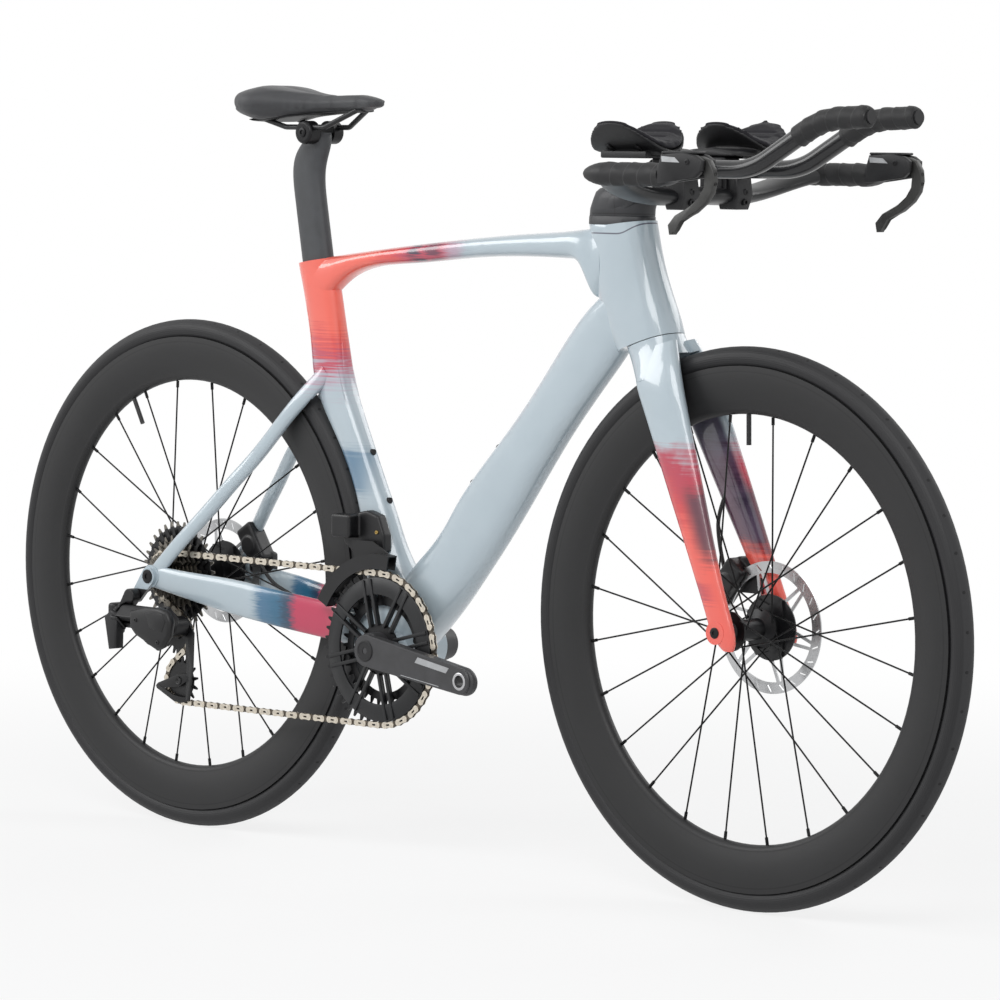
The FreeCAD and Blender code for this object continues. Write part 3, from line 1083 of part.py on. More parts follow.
# Front derailleur: a body on the seat tube and a cage that slides out on two pins
fd_outline_shares = (  # along, rise
    (0.0, 0.62), (0.06, 0.86), (0.51, 1.0), (0.74, 0.90), (0.86, 0.50), (0.86, 0.16), (0.72, 0.0), (0.30, 0.02),
    (0.04, 0.30))
fd_pack_shares, fd_pin_shares, fd_bridge_share = (0.18, 0.66, 1 / 3), ((0.40, 0.28), (0.70, 0.28)), 0.6
fd_corner = bb + at(-size.fd_back, size.fd_rise)
fd_points = [fd_corner + at(across * size.fd_length, up * size.fd_height) for across, up in fd_outline_shares]
fd_body = prism([p - Y * size.fd_outer for p in fd_points], Y * (size.fd_outer - size.fd_inner))
fd_face_edges = [e for e in fd_body.Edges if abs(e.CenterOfMass.y + size.fd_outer) < thin_gap]
fd_body = softened(fd_body, size.fd_round, fd_face_edges)
fd_pack_at = fd_corner + at(size.fd_length * fd_pack_shares[0], size.fd_height * fd_pack_shares[1],
                            -size.fd_outer - size.fd_pack_width * fd_pack_shares[2])
fd_pack = softened(block(fd_pack_at, Vector(size.fd_pack_length, size.fd_pack_width, size.fd_pack_height)),
                   size.fd_round)
fd_pins = [fd_corner + at(across * size.fd_length, up * size.fd_height) for across, up in fd_pin_shares]
fd_holes = [rod(pin - Y * size.chain_line, pin - Y * (size.fd_inner - size.fd_round),
                size.fd_pin_radius + size.clearance) for pin in fd_pins]
keep("front_derailleur_body", largest(joined(fd_body, fd_pack).cut([triangle] + fd_holes)))


def ring_sector(start, inner, outer, first, last, way):
    def spot(radius, turn):
        return bb + flat_turn(turn) * radius + start
    middle = (first + last) / 2
    edges = [Part.Arc(spot(inner, first), spot(inner, middle), spot(inner, last)).toShape(),
             Part.LineSegment(spot(inner, last), spot(outer, last)).toShape(),
             Part.Arc(spot(outer, last), spot(outer, middle), spot(outer, first)).toShape(),
             Part.LineSegment(spot(outer, first), spot(inner, first)).toShape()]
    return Part.Face(Part.Wire(edges)).extrude(way)


fd_low = big_radius + size.tooth_height + size.fd_tooth_gap
fd_high = fd_low + size.fd_cage_height
cage_outer = Y * (-size.chain_line - size.fd_cage_half - size.plate_width)
cage_inner = Y * (-size.chain_line + size.fd_cage_half)
fd_front, fd_tail, fd_tail_bridge, fd_front_bridge = 80, 152, 144, 108  # turns about the crank in degrees
fd_plate_turns = (84, 116)
fd_solids = [ring_sector(cage_outer, fd_low, fd_high, fd_front, fd_tail, Y * size.plate_width),
             ring_sector(cage_inner, fd_low, fd_high, fd_front, fd_tail, Y * size.plate_width),
             ring_sector(cage_outer, fd_low, fd_low + size.fd_cage_height * fd_bridge_share, fd_tail_bridge, fd_tail,
                         cage_inner - cage_outer + Y * size.plate_width),
             ring_sector(cage_outer, fd_high - size.plate_width, fd_high, fd_front, fd_front_bridge,
                         cage_inner - cage_outer + Y * size.plate_width)]
fd_plate = [fd_pins[0] + at(-size.fd_pin_radius * 2, size.fd_pin_radius * 2),
            fd_pins[1] + at(size.fd_pin_radius * 2, size.fd_pin_radius * 2),
            *(bb + flat_turn(turn) * (fd_high - size.plate_width) for turn in fd_plate_turns)]
fd_solids.append(prism([p + cage_inner for p in fd_plate], Y * size.plate_width))
for pin in fd_pins:
    fd_solids.append(rod(pin + cage_inner, pin - Y * (size.fd_pin_room + size.fd_travel), size.fd_pin_radius))
keep("front_derailleur_cage", largest(joined(*fd_solids)))

# Disc brakes: each caliper bridges its rotor, holds two pads and stands on a foot on the stay or blade
def turned_block(centre, lengths, turn, round_edge):
    body = softened(block(Vector(), lengths), round_edge)
    body.rotate(Vector(), Y, -turn)
    body.translate(centre)
    return body


pad_length_share = 1.8


def caliper(axle, side, rotor_radius, turn, foot, carriers):
    out = flat_turn(turn)
    middle = axle + out * (rotor_radius + size.caliper_outset) + Y * side
    body = turned_block(middle, Vector(size.caliper_height, size.caliper_width, size.caliper_length), turn,
                        size.caliper_round)
    pistons = rod(middle - out * size.caliper_outset - Y * (size.caliper_width / 2 + size.piston_cap),
                  middle - out * size.caliper_outset + Y * (size.caliper_width / 2 + size.piston_cap),
                  size.piston_radius)
    slot_half = size.rotor_thickness / 2 + size.clearance + size.pad_thickness
    slot = rod(axle + Y * (side - slot_half), axle + Y * (side + slot_half), rotor_radius + size.rotor_thickness)
    whole = largest(joined(body, pistons, foot).cut([slot] + carriers))
    pads = []
    pad_size = Vector(size.rotor_band, size.pad_thickness, size.piston_radius * pad_length_share)
    for hand in (-1, 1):
        pad_side = side + hand * (slot_half - size.pad_thickness / 2)
        spot = axle + out * (rotor_radius - size.rotor_band / 2) + Y * pad_side
        pad = block(Vector(), pad_size)
        pad.rotate(Vector(), Y, -turn)
        pad.translate(spot)
        pads.append(pad)
    return group([whole] + pads)


rear_foot = softened(block(rear_axle + at(size.rear_foot_forward, size.rear_foot_rise, size.rear_foot_side), Vector(
    size.caliper_foot_length, size.caliper_foot_width, size.caliper_foot_height)), size.caliper_round)
rear_caliper = caliper(rear_axle, rear_rotor_side, size.rear_rotor_radius, size.rear_caliper_turn, rear_foot,
                       [low, high])
keep("rear_brake_caliper", rear_caliper)
front_foot = block(front_axle + at(-size.front_foot_back, size.front_foot_rise, size.front_foot_side), Vector(
    size.front_foot_length, size.caliper_foot_width, size.front_foot_height))
front_caliper = caliper(front_axle, front_rotor_side, size.front_rotor_radius, size.front_caliper_turn, front_foot,
                        [fork])
keep("front_brake_caliper", front_caliper)

# Brake hoses, each from its grommet to its caliper: forward, up and out from the axle, of the wheel's radius
front_hose_shares = (
    (-0.2065, 0.5015, 0.1239), (-0.2360, 0.4012, 0.0944), (-0.2360, 0.2950, 0.0973), (-0.2183, 0.1947, 0.1121))
rear_hose_shares = (
    (0.2124, 0.0708, 0.1386), (0.2655, 0.0059, 0.1357), (0.3540, -0.0442, 0.1268), (0.4602, -0.0826, 0.1475))
front_hose_route = [front_axle + at(*shares) * size.wheel_radius for shares in front_hose_shares]
front_hose = bent_tube(front_hose_route, size.hose_bend, size.hose_radius)
keep("front_brake_hose", largest(front_hose.cut([fork] + front_caliper.Solids)))
rear_hose_route = [rear_axle + at(*shares) * size.wheel_radius for shares in rear_hose_shares]
rear_hose = bent_tube(rear_hose_route, size.hose_bend, size.hose_radius)
keep("rear_brake_hose", largest(rear_hose.cut([low] + rear_caliper.Solids)))

# Bottle bolts on the seat tube and the down tube
bolts = []
for spot, way, facing in ((bb + seat_line * size.seat_bolt_share, Vector(seat_line).normalize(), X),
                          (bb + down_line * size.down_bolt_share, down_way, down_up)):
    for step in (-0.5, 0.5):
        centre = spot + way * (step * size.bottle_bolt_spread)
        reach = facing * size.bolt_reach
        line = Part.makeLine(centre - reach, centre + reach).common(triangle)
        face = max((vertex.Point for vertex in line.Vertexes), key=lambda p: (p - centre).dot(facing))
        proud = facing * size.bottle_bolt_height
        bolt = rod(face - proud, face + proud, size.bottle_bolt_radius)
        bolts.append(largest(bolt.cut(triangle)))
keep("bottle_bolts", group(bolts))

# Base bar: stem and wing are one moulding, with a grip tube at each end
stem_shares = (  # along, underside, top, half width
    (0.0, 0.02, 0.32, 0.24), (0.045, 0.06, 0.80, 0.40), (0.17, 0.20, 0.95, 0.48), (0.38, 0.45, 1.0, 0.50),
    (0.62, 0.55, 1.02, 0.52), (0.84, 0.52, 0.98, 0.56), (1.0, 0.56, 0.94, 0.54))
wing_shares = (  # out, forward, rise, half chord, half thickness
    (0.0, 0.0, 0.0, 0.50, 0.50), (0.20, 0.0, 0.0, 0.49, 0.50), (0.40, -0.01, 0.0, 0.46, 0.47),
    (0.58, 0.0, 0.16, 0.44, 0.45), (0.76, 0.10, 0.48, 0.42, 0.45), (0.90, 0.32, 0.82, 0.40, 0.47),
    (1.0, 0.58, 1.0, 0.38, 0.46))
stem_gap, stem_root_shares = size.clearance * 2, (0.98, 0.90)
stem_rear = steer_point(stem_foot + stem_gap, -stem_foot_shares[1] * size.head_tube_depth)
bar_centre = stem_rear + at(size.bar_forward, size.bar_rise)
stem = loft([section(stem_rear + at(along * size.bar_forward, (under + top) / 2 * size.stem_height), Z, Y,
                     (top - under) / 2 * size.stem_height, (top - under) / 2 * size.stem_height,
                     wide * size.head_tube_width, 2.8) for along, under, top, wide in stem_shares])
stem_root = loft([stem_section(stem_foot, stem_root_shares[0]),
                  stem_section(stem_foot + size.stem_root_rise, stem_root_shares[1])])
below_stem = loft([stem_section(stem_foot - size.stem_height, 2.0), stem_section(stem_foot + stem_gap, 2.0)])
grip_half = size.grip_spread / 2
wing_parts, grip_parts, tape_parts = [], [], []
grip_end = bar_centre + at(size.grip_forward, size.wing_rise)
for side in (-1, 1):
    wing_parts.append(loft([
        section(bar_centre + at(ahead * size.wing_chord, rise * size.wing_rise, side * out * grip_half), X, Z,
                chord * size.wing_chord, chord * size.wing_chord, thick * size.wing_thickness, 2.2)
        for out, ahead, rise, chord, thick in wing_shares]))
    end = grip_end + Y * (side * grip_half)
    tail = end - X * size.grip_length
    grip_parts.append(rod(tail, end, size.grip_radius))
    grip_parts.append(Part.makeCone(size.grip_tip_radius, size.tape_radius, size.grip_tail,
                                    tail - X * size.grip_tail, X))
    tape_parts.append(rod(tail, end, size.tape_radius).cut(rod(tail, end, size.grip_radius)))
steerer_socket = steer_rod(crown_top, steerer_top + thin_gap, size.steerer_radius + thin_gap)
base_bar = joined(stem, stem_root, *(wing_parts + grip_parts)).cut([below_stem, steerer_socket] + tape_parts)
base_bar = largest(base_bar)
keep("base_bar", base_bar)

# Extensions: bent tubes in clamps on risers, taped at the tip, with a button in each end
ext_points = [bar_centre + at(ahead, size.ext_rise + up) for ahead, up in (
    (-size.ext_tail, 0), (size.ext_straight, 0), (size.ext_straight + size.ext_ramp, size.ext_climb),
    (size.ext_straight + size.ext_ramp + size.ext_tip, size.ext_climb + size.ext_tip_climb))]
ext_half = Y * (size.ext_spread / 2)
tip_way = (ext_points[-1] - ext_points[-2]).normalize()
tubes, risers, cups, pads, cup_sink_share = [], [], [], [], 0.7
pad_shares = (  # along, half width
    (-1.0, 0.42), (-0.90, 0.66), (-0.70, 0.86), (-0.36, 0.97), (0.0, 1.0), (0.36, 0.97), (0.70, 0.86),
    (0.90, 0.66), (1.0, 0.42))


def bowed_sheet(centre, foot, top):
    wires = []
    for along, wide in pad_shares:
        half = wide * size.pad_width / 2
        rise = size.pad_edge_rise * wide ** 2
        middle = centre + X * (along * size.pad_length / 2)
        low = [middle + at(0, foot + rise, -half), middle + at(0, foot), middle + at(0, foot + rise, half)]
        high = [p + Z * (top - foot) for p in low]
        wires.append(Part.Wire([Part.Arc(*low).toShape(), Part.LineSegment(low[2], high[2]).toShape(),
                                Part.Arc(*high[::-1]).toShape(), Part.LineSegment(high[0], low[0]).toShape()]))
    return loft(wires)


for side in (-1, 1):
    shift = ext_half * side
    path = [p + shift for p in ext_points]
    tube = bent_tube(path, size.ext_bend, size.ext_radius)
    tip = path[-1]
    tube = tube.cut(rod(tip - tip_way * size.button_depth, tip + tip_way, size.button_radius + size.clearance))
    tubes.append(tube)
    tape_start = path[2] - (path[2] - path[1]).normalize() * size.ext_tape_back
    sleeve = bent_tube([tape_start, path[2], tip - tip_way * size.button_depth], size.ext_bend, size.ext_tape_radius)
    tape_parts.append(largest(sleeve.cut(tube)))
    riser_foot = bar_centre + shift
    riser_top = size.ext_rise + size.ext_radius + size.riser_wall
    riser = softened(block(riser_foot + Z * (riser_top / 2), Vector(size.riser_length, size.riser_width, riser_top)),
                     size.riser_round)
    bore = rod(path[0] - X * size.riser_length, path[0] + X * (size.ext_tail + size.riser_length), size.ext_radius)
    risers.append(largest(riser.cut([base_bar, bore])))
    cup_centre = bar_centre + at(-size.pad_back, riser_top + thin_gap, side * size.pad_spread / 2)
    bracket_span = size.pad_spread / 2 - size.ext_spread / 2 + size.riser_width
    bracket_side = size.ext_spread / 2 - size.riser_width / 2 + bracket_span / 2
    bracket_middle = Vector(cup_centre.x, side * bracket_side, cup_centre.z + size.bracket_thickness / 2)
    bracket = block(bracket_middle, Vector(size.bracket_length, bracket_span, size.bracket_thickness))
    bracket = softened(bracket, size.bracket_round, [e for e in bracket.Edges if e.BoundBox.ZLength > thin_gap])
    cup_foot = size.bracket_thickness * cup_sink_share
    cup = bowed_sheet(cup_centre, cup_foot, cup_foot + size.cup_thickness)
    cups.append(joined(bracket, cup))
    pad_foot = cup_foot + size.cup_thickness + size.clearance
    pads.append(bowed_sheet(cup_centre, pad_foot, pad_foot + size.pad_thickness_rest).cut(bracket))
    button_foot = size.button_depth - size.button_travel - size.clearance
    button = rod(tip - tip_way * button_foot, tip + tip_way * size.button_proud, size.button_radius)
    keep("shift_button_" + ("right" if side < 0 else "left"), button)
keep("extensions", group(tubes))
keep("extension_risers", group(risers))
keep("arm_cups", group(cups))
keep("arm_pads", group([largest(p) for p in pads]))
keep("bar_tape", group(tape_parts))

# Brake levers: a hood in the end of each grip and a curved blade on a cross pin
hood_shares = (  # along, rise, half height, half width
    (0.0, 0.0, 0.46, 0.46), (0.10, 0.06, 0.47, 0.46), (0.35, 0.26, 0.48, 0.40), (0.65, 0.34, 0.46, 0.36),
    (0.88, 0.34, 0.40, 0.33), (0.98, 0.32, 0.28, 0.26), (1.0, 0.32, 0.16, 0.18))
blade_outline_shares = (  # forward and up from the pivot, as shares of the lever's length
    (-0.02, 0.09), (0.14, 0.09), (0.29, -0.01), (0.36, -0.19), (0.31, -0.40), (0.13, -0.58), (-0.12, -0.73),
    (-0.34, -0.88), (-0.44, -0.96), (-0.475, -0.88), (-0.34, -0.76), (-0.10, -0.61), (0.09, -0.47), (0.18, -0.31),
    (0.18, -0.15), (0.08, -0.09), (-0.08, -0.09))
pivot_shares, slot_shares, pin_share = (0.74, 0.52), (0.5, -0.1), 0.3
hoods = []
for side, hand in ((-1, "right"), (1, "left")):
    foot = grip_end + at(thin_gap, 0, side * grip_half)
    hood = loft([section(foot + at(along * size.hood_length, rise * size.hood_height), Z, Y, high * size.hood_height,
                         high * size.hood_height, wide * size.hood_height, 4)
                 for along, rise, high, wide in hood_shares])
    pivot = foot + at(size.hood_length * pivot_shares[0], size.hood_height * pivot_shares[1])
    slot = block(pivot + at(size.hood_length * slot_shares[0] - size.lever_room, size.hood_height * slot_shares[1]),
                 Vector(size.hood_length, size.lever_thickness + size.clearance * 2, size.hood_height * 2))
    pin_reach = Y * (size.hood_height * pin_share)
    pin = rod(pivot - pin_reach, pivot + pin_reach, size.lever_pin_radius)
    hoods.append(largest(joined(largest(hood.cut(slot)), pin)))
    outline = Part.BSplineCurve()
    outline.interpolate(Points=[pivot + at(ahead * size.lever_length, up * size.lever_length,
                                           -size.lever_thickness / 2)
                                for ahead, up in blade_outline_shares], PeriodicFlag=True)
    blade = Part.Face(Part.Wire([outline.toShape()])).extrude(Y * size.lever_thickness)
    lever_bore = rod(pivot - Y * size.hood_height, pivot + Y * size.hood_height,
                     size.lever_pin_radius + size.clearance)
    blade = blade.cut(lever_bore)
    keep("brake_lever_" + hand, blade)
keep("lever_bodies", group(hoods))

# Check and write every piece
doc.recompute()
for item in doc.Objects:
    if any(state in ("Invalid", "Error") for state in item.State):
        raise RuntimeError("%s is %s" % (item.Label, item.State))
os.makedirs("parts", exist_ok=True)
for label, item in sorted(pieces.items()):
    if item.Shape.isNull() or not item.Shape.isValid() or not item.Shape.Solids:
        raise RuntimeError("%s has no valid solid" % label)
for label, item in sorted(pieces.items()):
    item.Shape.exportStep("parts/%s.step" % label)
print("pieces", len(pieces), "solids", sum(len(item.Shape.Solids) for item in pieces.values()))
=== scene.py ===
import json
import math
import bmesh
import bpy
from mathutils import Matrix, Vector
from mathutils.bvhtree import BVHTree


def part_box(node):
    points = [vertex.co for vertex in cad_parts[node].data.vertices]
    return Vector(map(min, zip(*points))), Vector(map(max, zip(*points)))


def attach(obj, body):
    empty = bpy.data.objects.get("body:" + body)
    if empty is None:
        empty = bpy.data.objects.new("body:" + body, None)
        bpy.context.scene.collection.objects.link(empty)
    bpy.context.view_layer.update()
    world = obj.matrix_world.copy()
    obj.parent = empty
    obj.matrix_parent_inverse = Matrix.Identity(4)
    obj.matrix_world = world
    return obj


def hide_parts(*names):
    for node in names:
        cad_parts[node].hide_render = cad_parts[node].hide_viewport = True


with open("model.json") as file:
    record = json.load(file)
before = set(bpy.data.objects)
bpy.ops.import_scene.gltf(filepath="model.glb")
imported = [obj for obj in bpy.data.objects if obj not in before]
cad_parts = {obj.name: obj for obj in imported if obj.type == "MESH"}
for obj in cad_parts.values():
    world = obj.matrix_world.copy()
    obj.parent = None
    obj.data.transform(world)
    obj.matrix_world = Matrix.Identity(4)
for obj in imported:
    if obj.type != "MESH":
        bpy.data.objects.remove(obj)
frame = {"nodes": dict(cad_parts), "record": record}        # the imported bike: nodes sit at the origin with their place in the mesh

scene = bpy.context.scene
scene.view_settings.view_transform = "Standard"
nodes = frame["nodes"]
bodyOf = {node: body for body, members in frame["record"]["behaviour"]["bodies"].items() for node in members}
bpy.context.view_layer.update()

# camera at the photograph's angle
view = {"turn": 44.11, "rise": 4.29, "roll": 0.53, "away": 6.064, "aim": (0.076, 0.0, 0.470), "lens": 174.2,
        "sensor": 36.0, "far": 200.0}


def setCamera():
    turn, rise, roll = (math.radians(view[part]) for part in ("turn", "rise", "roll"))
    back = Vector((math.sin(turn) * math.cos(rise), -math.cos(turn) * math.cos(rise), math.sin(rise)))
    level = Vector((math.cos(turn), math.sin(turn), 0))
    upright = back.cross(level)
    right = level * math.cos(roll) + upright * math.sin(roll)
    up = upright * math.cos(roll) - level * math.sin(roll)
    lens = bpy.data.cameras.new("viewCamera")
    lens.lens, lens.sensor_width, lens.sensor_fit = view["lens"], view["sensor"], "HORIZONTAL"
    lens.clip_end = view["far"]
    camera = bpy.data.objects.new("viewCamera", lens)
    scene.collection.objects.link(camera)
    place = Matrix((right, up, back)).transposed().to_4x4()
    place.translation = Vector(view["aim"]) + back * view["away"]
    camera.matrix_world = place
    scene.camera = camera


setCamera()


# shader maths: a Field is a socket, and sums on Fields add Math nodes
def feed(tree, socket, value):
    if isinstance(value, Field):
        tree.links.new(value.socket, socket)
    else:
        socket.default_value = value


def addNode(tree, kind, settings=None, inputs=None, output=0):
    node = tree.nodes.new(kind)
    for name, value in (settings or {}).items():
        if name == "stops":
            ramp = node.color_ramp
            while len(ramp.elements) < len(value):
                ramp.elements.new(0.5)
            for element, (place, colour) in zip(ramp.elements, value):
                element.position, element.color = place, colour
        else:
            setattr(node, name, value)
    for name, value in (inputs or {}).items():
        feed(tree, node.inputs[name], value)
    return Field(tree, node.outputs[output])


class Field:
    def __init__(self, tree, socket):
        self.tree, self.socket = tree, socket

    def maths(self, operation, *others):
        return addNode(self.tree, "ShaderNodeMath", {"operation": operation},
                       dict(enumerate((self,) + others)))

    def __add__(self, other):
        return self.maths("ADD", other)

    def __sub__(self, other):
        return self.maths("SUBTRACT", other)

    def __mul__(self, other):
        return self.maths("MULTIPLY", other)

    def __truediv__(self, other):
        return self.maths("DIVIDE", other)

    def __rsub__(self, other):
        return addNode(self.tree, "ShaderNodeMath", {"operation": "SUBTRACT"}, {0: other, 1: self})

    def size(self):
        return self.maths("ABSOLUTE")

    def rise(self, start, end):      # 0 before start, 1 after end, eased between them
        settings = {"interpolation_type": "SMOOTHSTEP", "clamp": True}
        span = {1: start, 2: end, 3: 0.0, 4: 1.0} if start <= end else {1: end, 2: start, 3: 1.0, 4: 0.0}
        return addNode(self.tree, "ShaderNodeMapRange", settings, {0: self, **span})

    def band(self, start, end, soft):
        return self.rise(start - soft, start + soft) * self.rise(end + soft, end - soft)


def distance(first, second):
    return (first * first + second * second).maths("SQRT")


def linear(red, green, blue):
    parts = [part / 255 for part in (red, green, blue)]
    return tuple(p / 12.92 if p <= 0.04045 else ((p + 0.055) / 1.055) ** 2.4 for p in parts) + (1.0,)


def tones(settings):                 # every colour in a look's settings, ready for a shader
    colours = {name: value for name, value in settings.items() if isinstance(value, tuple)}
    return {name: linear(*value) for name, value in colours.items() if len(value) == 3}


class Finish:
    def __init__(self, name, **sockets):
        self.material = bpy.data.materials.new(name)
        self.material.use_nodes = True
        self.tree = self.material.node_tree
        self.shader = self.tree.nodes["Principled BSDF"]
        for socket, value in sockets.items():
            self.shader.inputs[socket.replace("_", " ")].default_value = value
        self.point = addNode(self.tree, "ShaderNodeTexCoord", output="Object")
        parts = self.tree.nodes.new("ShaderNodeSeparateXYZ")
        self.tree.links.new(self.point.socket, parts.inputs[0])
        self.x, self.y, self.z = (Field(self.tree, socket) for socket in parts.outputs)

    def noise(self, scale, detail=2.0, stretch=None):
        where = self.point
        if stretch:
            where = addNode(self.tree, "ShaderNodeVectorMath", {"operation": "MULTIPLY"},
                            {0: where, 1: stretch})
        return addNode(self.tree, "ShaderNodeTexNoise", None,
                       {"Vector": where, "Scale": scale, "Detail": detail})

    def noiseAt(self, parts, detail):
        where = addNode(self.tree, "ShaderNodeCombineXYZ", None, dict(enumerate(parts)))
        return addNode(self.tree, "ShaderNodeTexNoise", None,
                       {"Vector": where, "Scale": 1.0, "Detail": detail})

    def cells(self, scale):
        return addNode(self.tree, "ShaderNodeTexVoronoi", None, {"Vector": self.point, "Scale": scale})

    def mix(self, first, second, share):
        node = self.tree.nodes.new("ShaderNodeMix")
        node.data_type, node.clamp_factor = "RGBA", True
        for place, value in ((0, share), (6, first), (7, second)):
            feed(self.tree, node.inputs[place], value)
        return Field(self.tree, node.outputs[2])

    def ramp(self, along, stops):
        made = addNode(self.tree, "ShaderNodeValToRGB", {"stops": stops}, {0: along})
        made.socket.node.color_ramp.interpolation = "EASE"
        return made

    def set(self, socket, value):
        feed(self.tree, self.shader.inputs[socket], value)

    def bump(self, height, depth):
        self.set("Normal", addNode(self.tree, "ShaderNodeBump", None,
                                   {"Height": height, "Distance": depth, "Strength": 1.0}))
        return self.material


# a plain finish with its grain: colour and roughness that wander a little, and a fine surface
def grained(name, colour, roughness, spread=0.14, mottle=60, grain=900, depth=0.00003, **sockets):
    made = Finish(name, Roughness=roughness, **sockets)
    slow, quick = made.noise(mottle, 3.0), made.noise(grain, 2.0)
    light = linear(*(min(255, part * (1 + spread)) for part in colour))
    dark = linear(*(part * (1 - spread) for part in colour))
    made.set("Base Color", made.mix(dark, light, (slow * 0.65 + quick * 0.35).rise(0.3, 0.7)))
    made.set("Roughness", slow * 0.12 + quick * 0.06 + (roughness - 0.09))
    return made.bump(quick * 0.6 + slow * 0.4, depth)


# stage: pale floor that stays white to the eye and keeps a soft shadow, white all round, four soft lamps
stage = {"floorHalf": 30.0, "floorTone": (236, 237, 238), "nearShare": 0.80, "nearReach": 0.9,
         "farReach": 2.6, "worldLight": 0.27, "lampAim": (0, 0, 0.5), "lamps": (
             ((1.6, -3.6, 3.4), (3.2, 2.2), 104.0), ((-3.2, -2.8, 2.6), (2.6, 2.0), 74.0),
             ((1.0, 3.8, 2.8), (3.0, 2.0), 50.0), ((4.2, 0.6, 1.1), (1.0, 1.8), 16.0))}


def seenDirectly(tree):              # 1 for rays that show the stage itself, 0 for rays that light the bike
    rays = tree.nodes.new("ShaderNodeLightPath")
    kinds = ("Is Camera Ray", "Is Glossy Ray", "Is Transmission Ray")
    camera, glossy, through = (Field(tree, rays.outputs[kind]) for kind in kinds)
    return (camera + glossy + through).maths("MINIMUM", 1.0)


def setStage():
    floor = bmesh.new()
    bmesh.ops.create_grid(floor, x_segments=1, y_segments=1, size=stage["floorHalf"])
    mesh = bpy.data.meshes.new("paleFloor")
    floor.to_mesh(mesh)
    floor.free()
    ground = bpy.data.objects.new("paleFloor", mesh)
    scene.collection.objects.link(ground)
    look = Finish("floorWhite", Roughness=0.9, Base_Color=linear(*stage["floorTone"]))
    tree = look.tree
    away = distance(look.x, look.y)
    share = away.rise(stage["nearReach"], stage["farReach"]) * (1 - stage["nearShare"]) + stage["nearShare"]
    glow = addNode(tree, "ShaderNodeEmission", None, {"Color": (1, 1, 1, 1), "Strength": 1.0})
    both = addNode(tree, "ShaderNodeMixShader", None,
                   {0: seenDirectly(tree) * share, 1: Field(tree, look.shader.outputs[0]), 2: glow})
    tree.links.new(both.socket, tree.nodes["Material Output"].inputs["Surface"])
    mesh.materials.append(look.material)
    sky = bpy.data.worlds.new("studioWhite")
    sky.use_nodes = True
    scene.world = sky
    tree = sky.node_tree
    light = tree.nodes["Background"]
    light.inputs["Color"].default_value = (1, 1, 1, 1)
    feed(tree, light.inputs["Strength"],
         seenDirectly(tree) * (1 - stage["worldLight"]) + stage["worldLight"])
    for count, (place, spread, power) in enumerate(stage["lamps"]):
        lamp = bpy.data.lights.new("softLamp%d" % count, "AREA")
        lamp.shape, lamp.size, lamp.size_y, lamp.energy = "RECTANGLE", spread[0], spread[1], power
        held = bpy.data.objects.new("softLamp%d" % count, lamp)
        held.location = place
        aim = Vector(stage["lampAim"]) - Vector(place)
        held.rotation_euler = aim.to_track_quat("-Z", "Y").to_euler()
        scene.collection.objects.link(held)


setStage()
print("camera, floor and lamps set")

# frame paint: pale blue-grey with brushed fades of coral, crimson, navy and teal
framePaint = {"grey": (178, 193, 202), "pale": (186, 200, 208), "coral": (246, 104, 86),
              "red": (224, 74, 72), "crimson": (196, 62, 88), "navy": (44, 34, 64), "mauve": (186, 160, 178),
              "blue": (62, 112, 146), "teal": (30, 100, 134), "deepTeal": (16, 58, 88),
              "pink": (196, 44, 84), "seatFade": (0.604, 0.690), "topFade": (-0.150, 0.030),
              "blots": ((-0.074, -0.050), (-0.040, -0.014)), "bluePatch": (0.466, 0.520),
              "stayFade": (-0.330, -0.176), "leftShift": 0.040, "capLine": (0.8080, 0.8225),
              "seatFoot": 0.603, "seatLean": 0.19, "seatBack": 0.190}


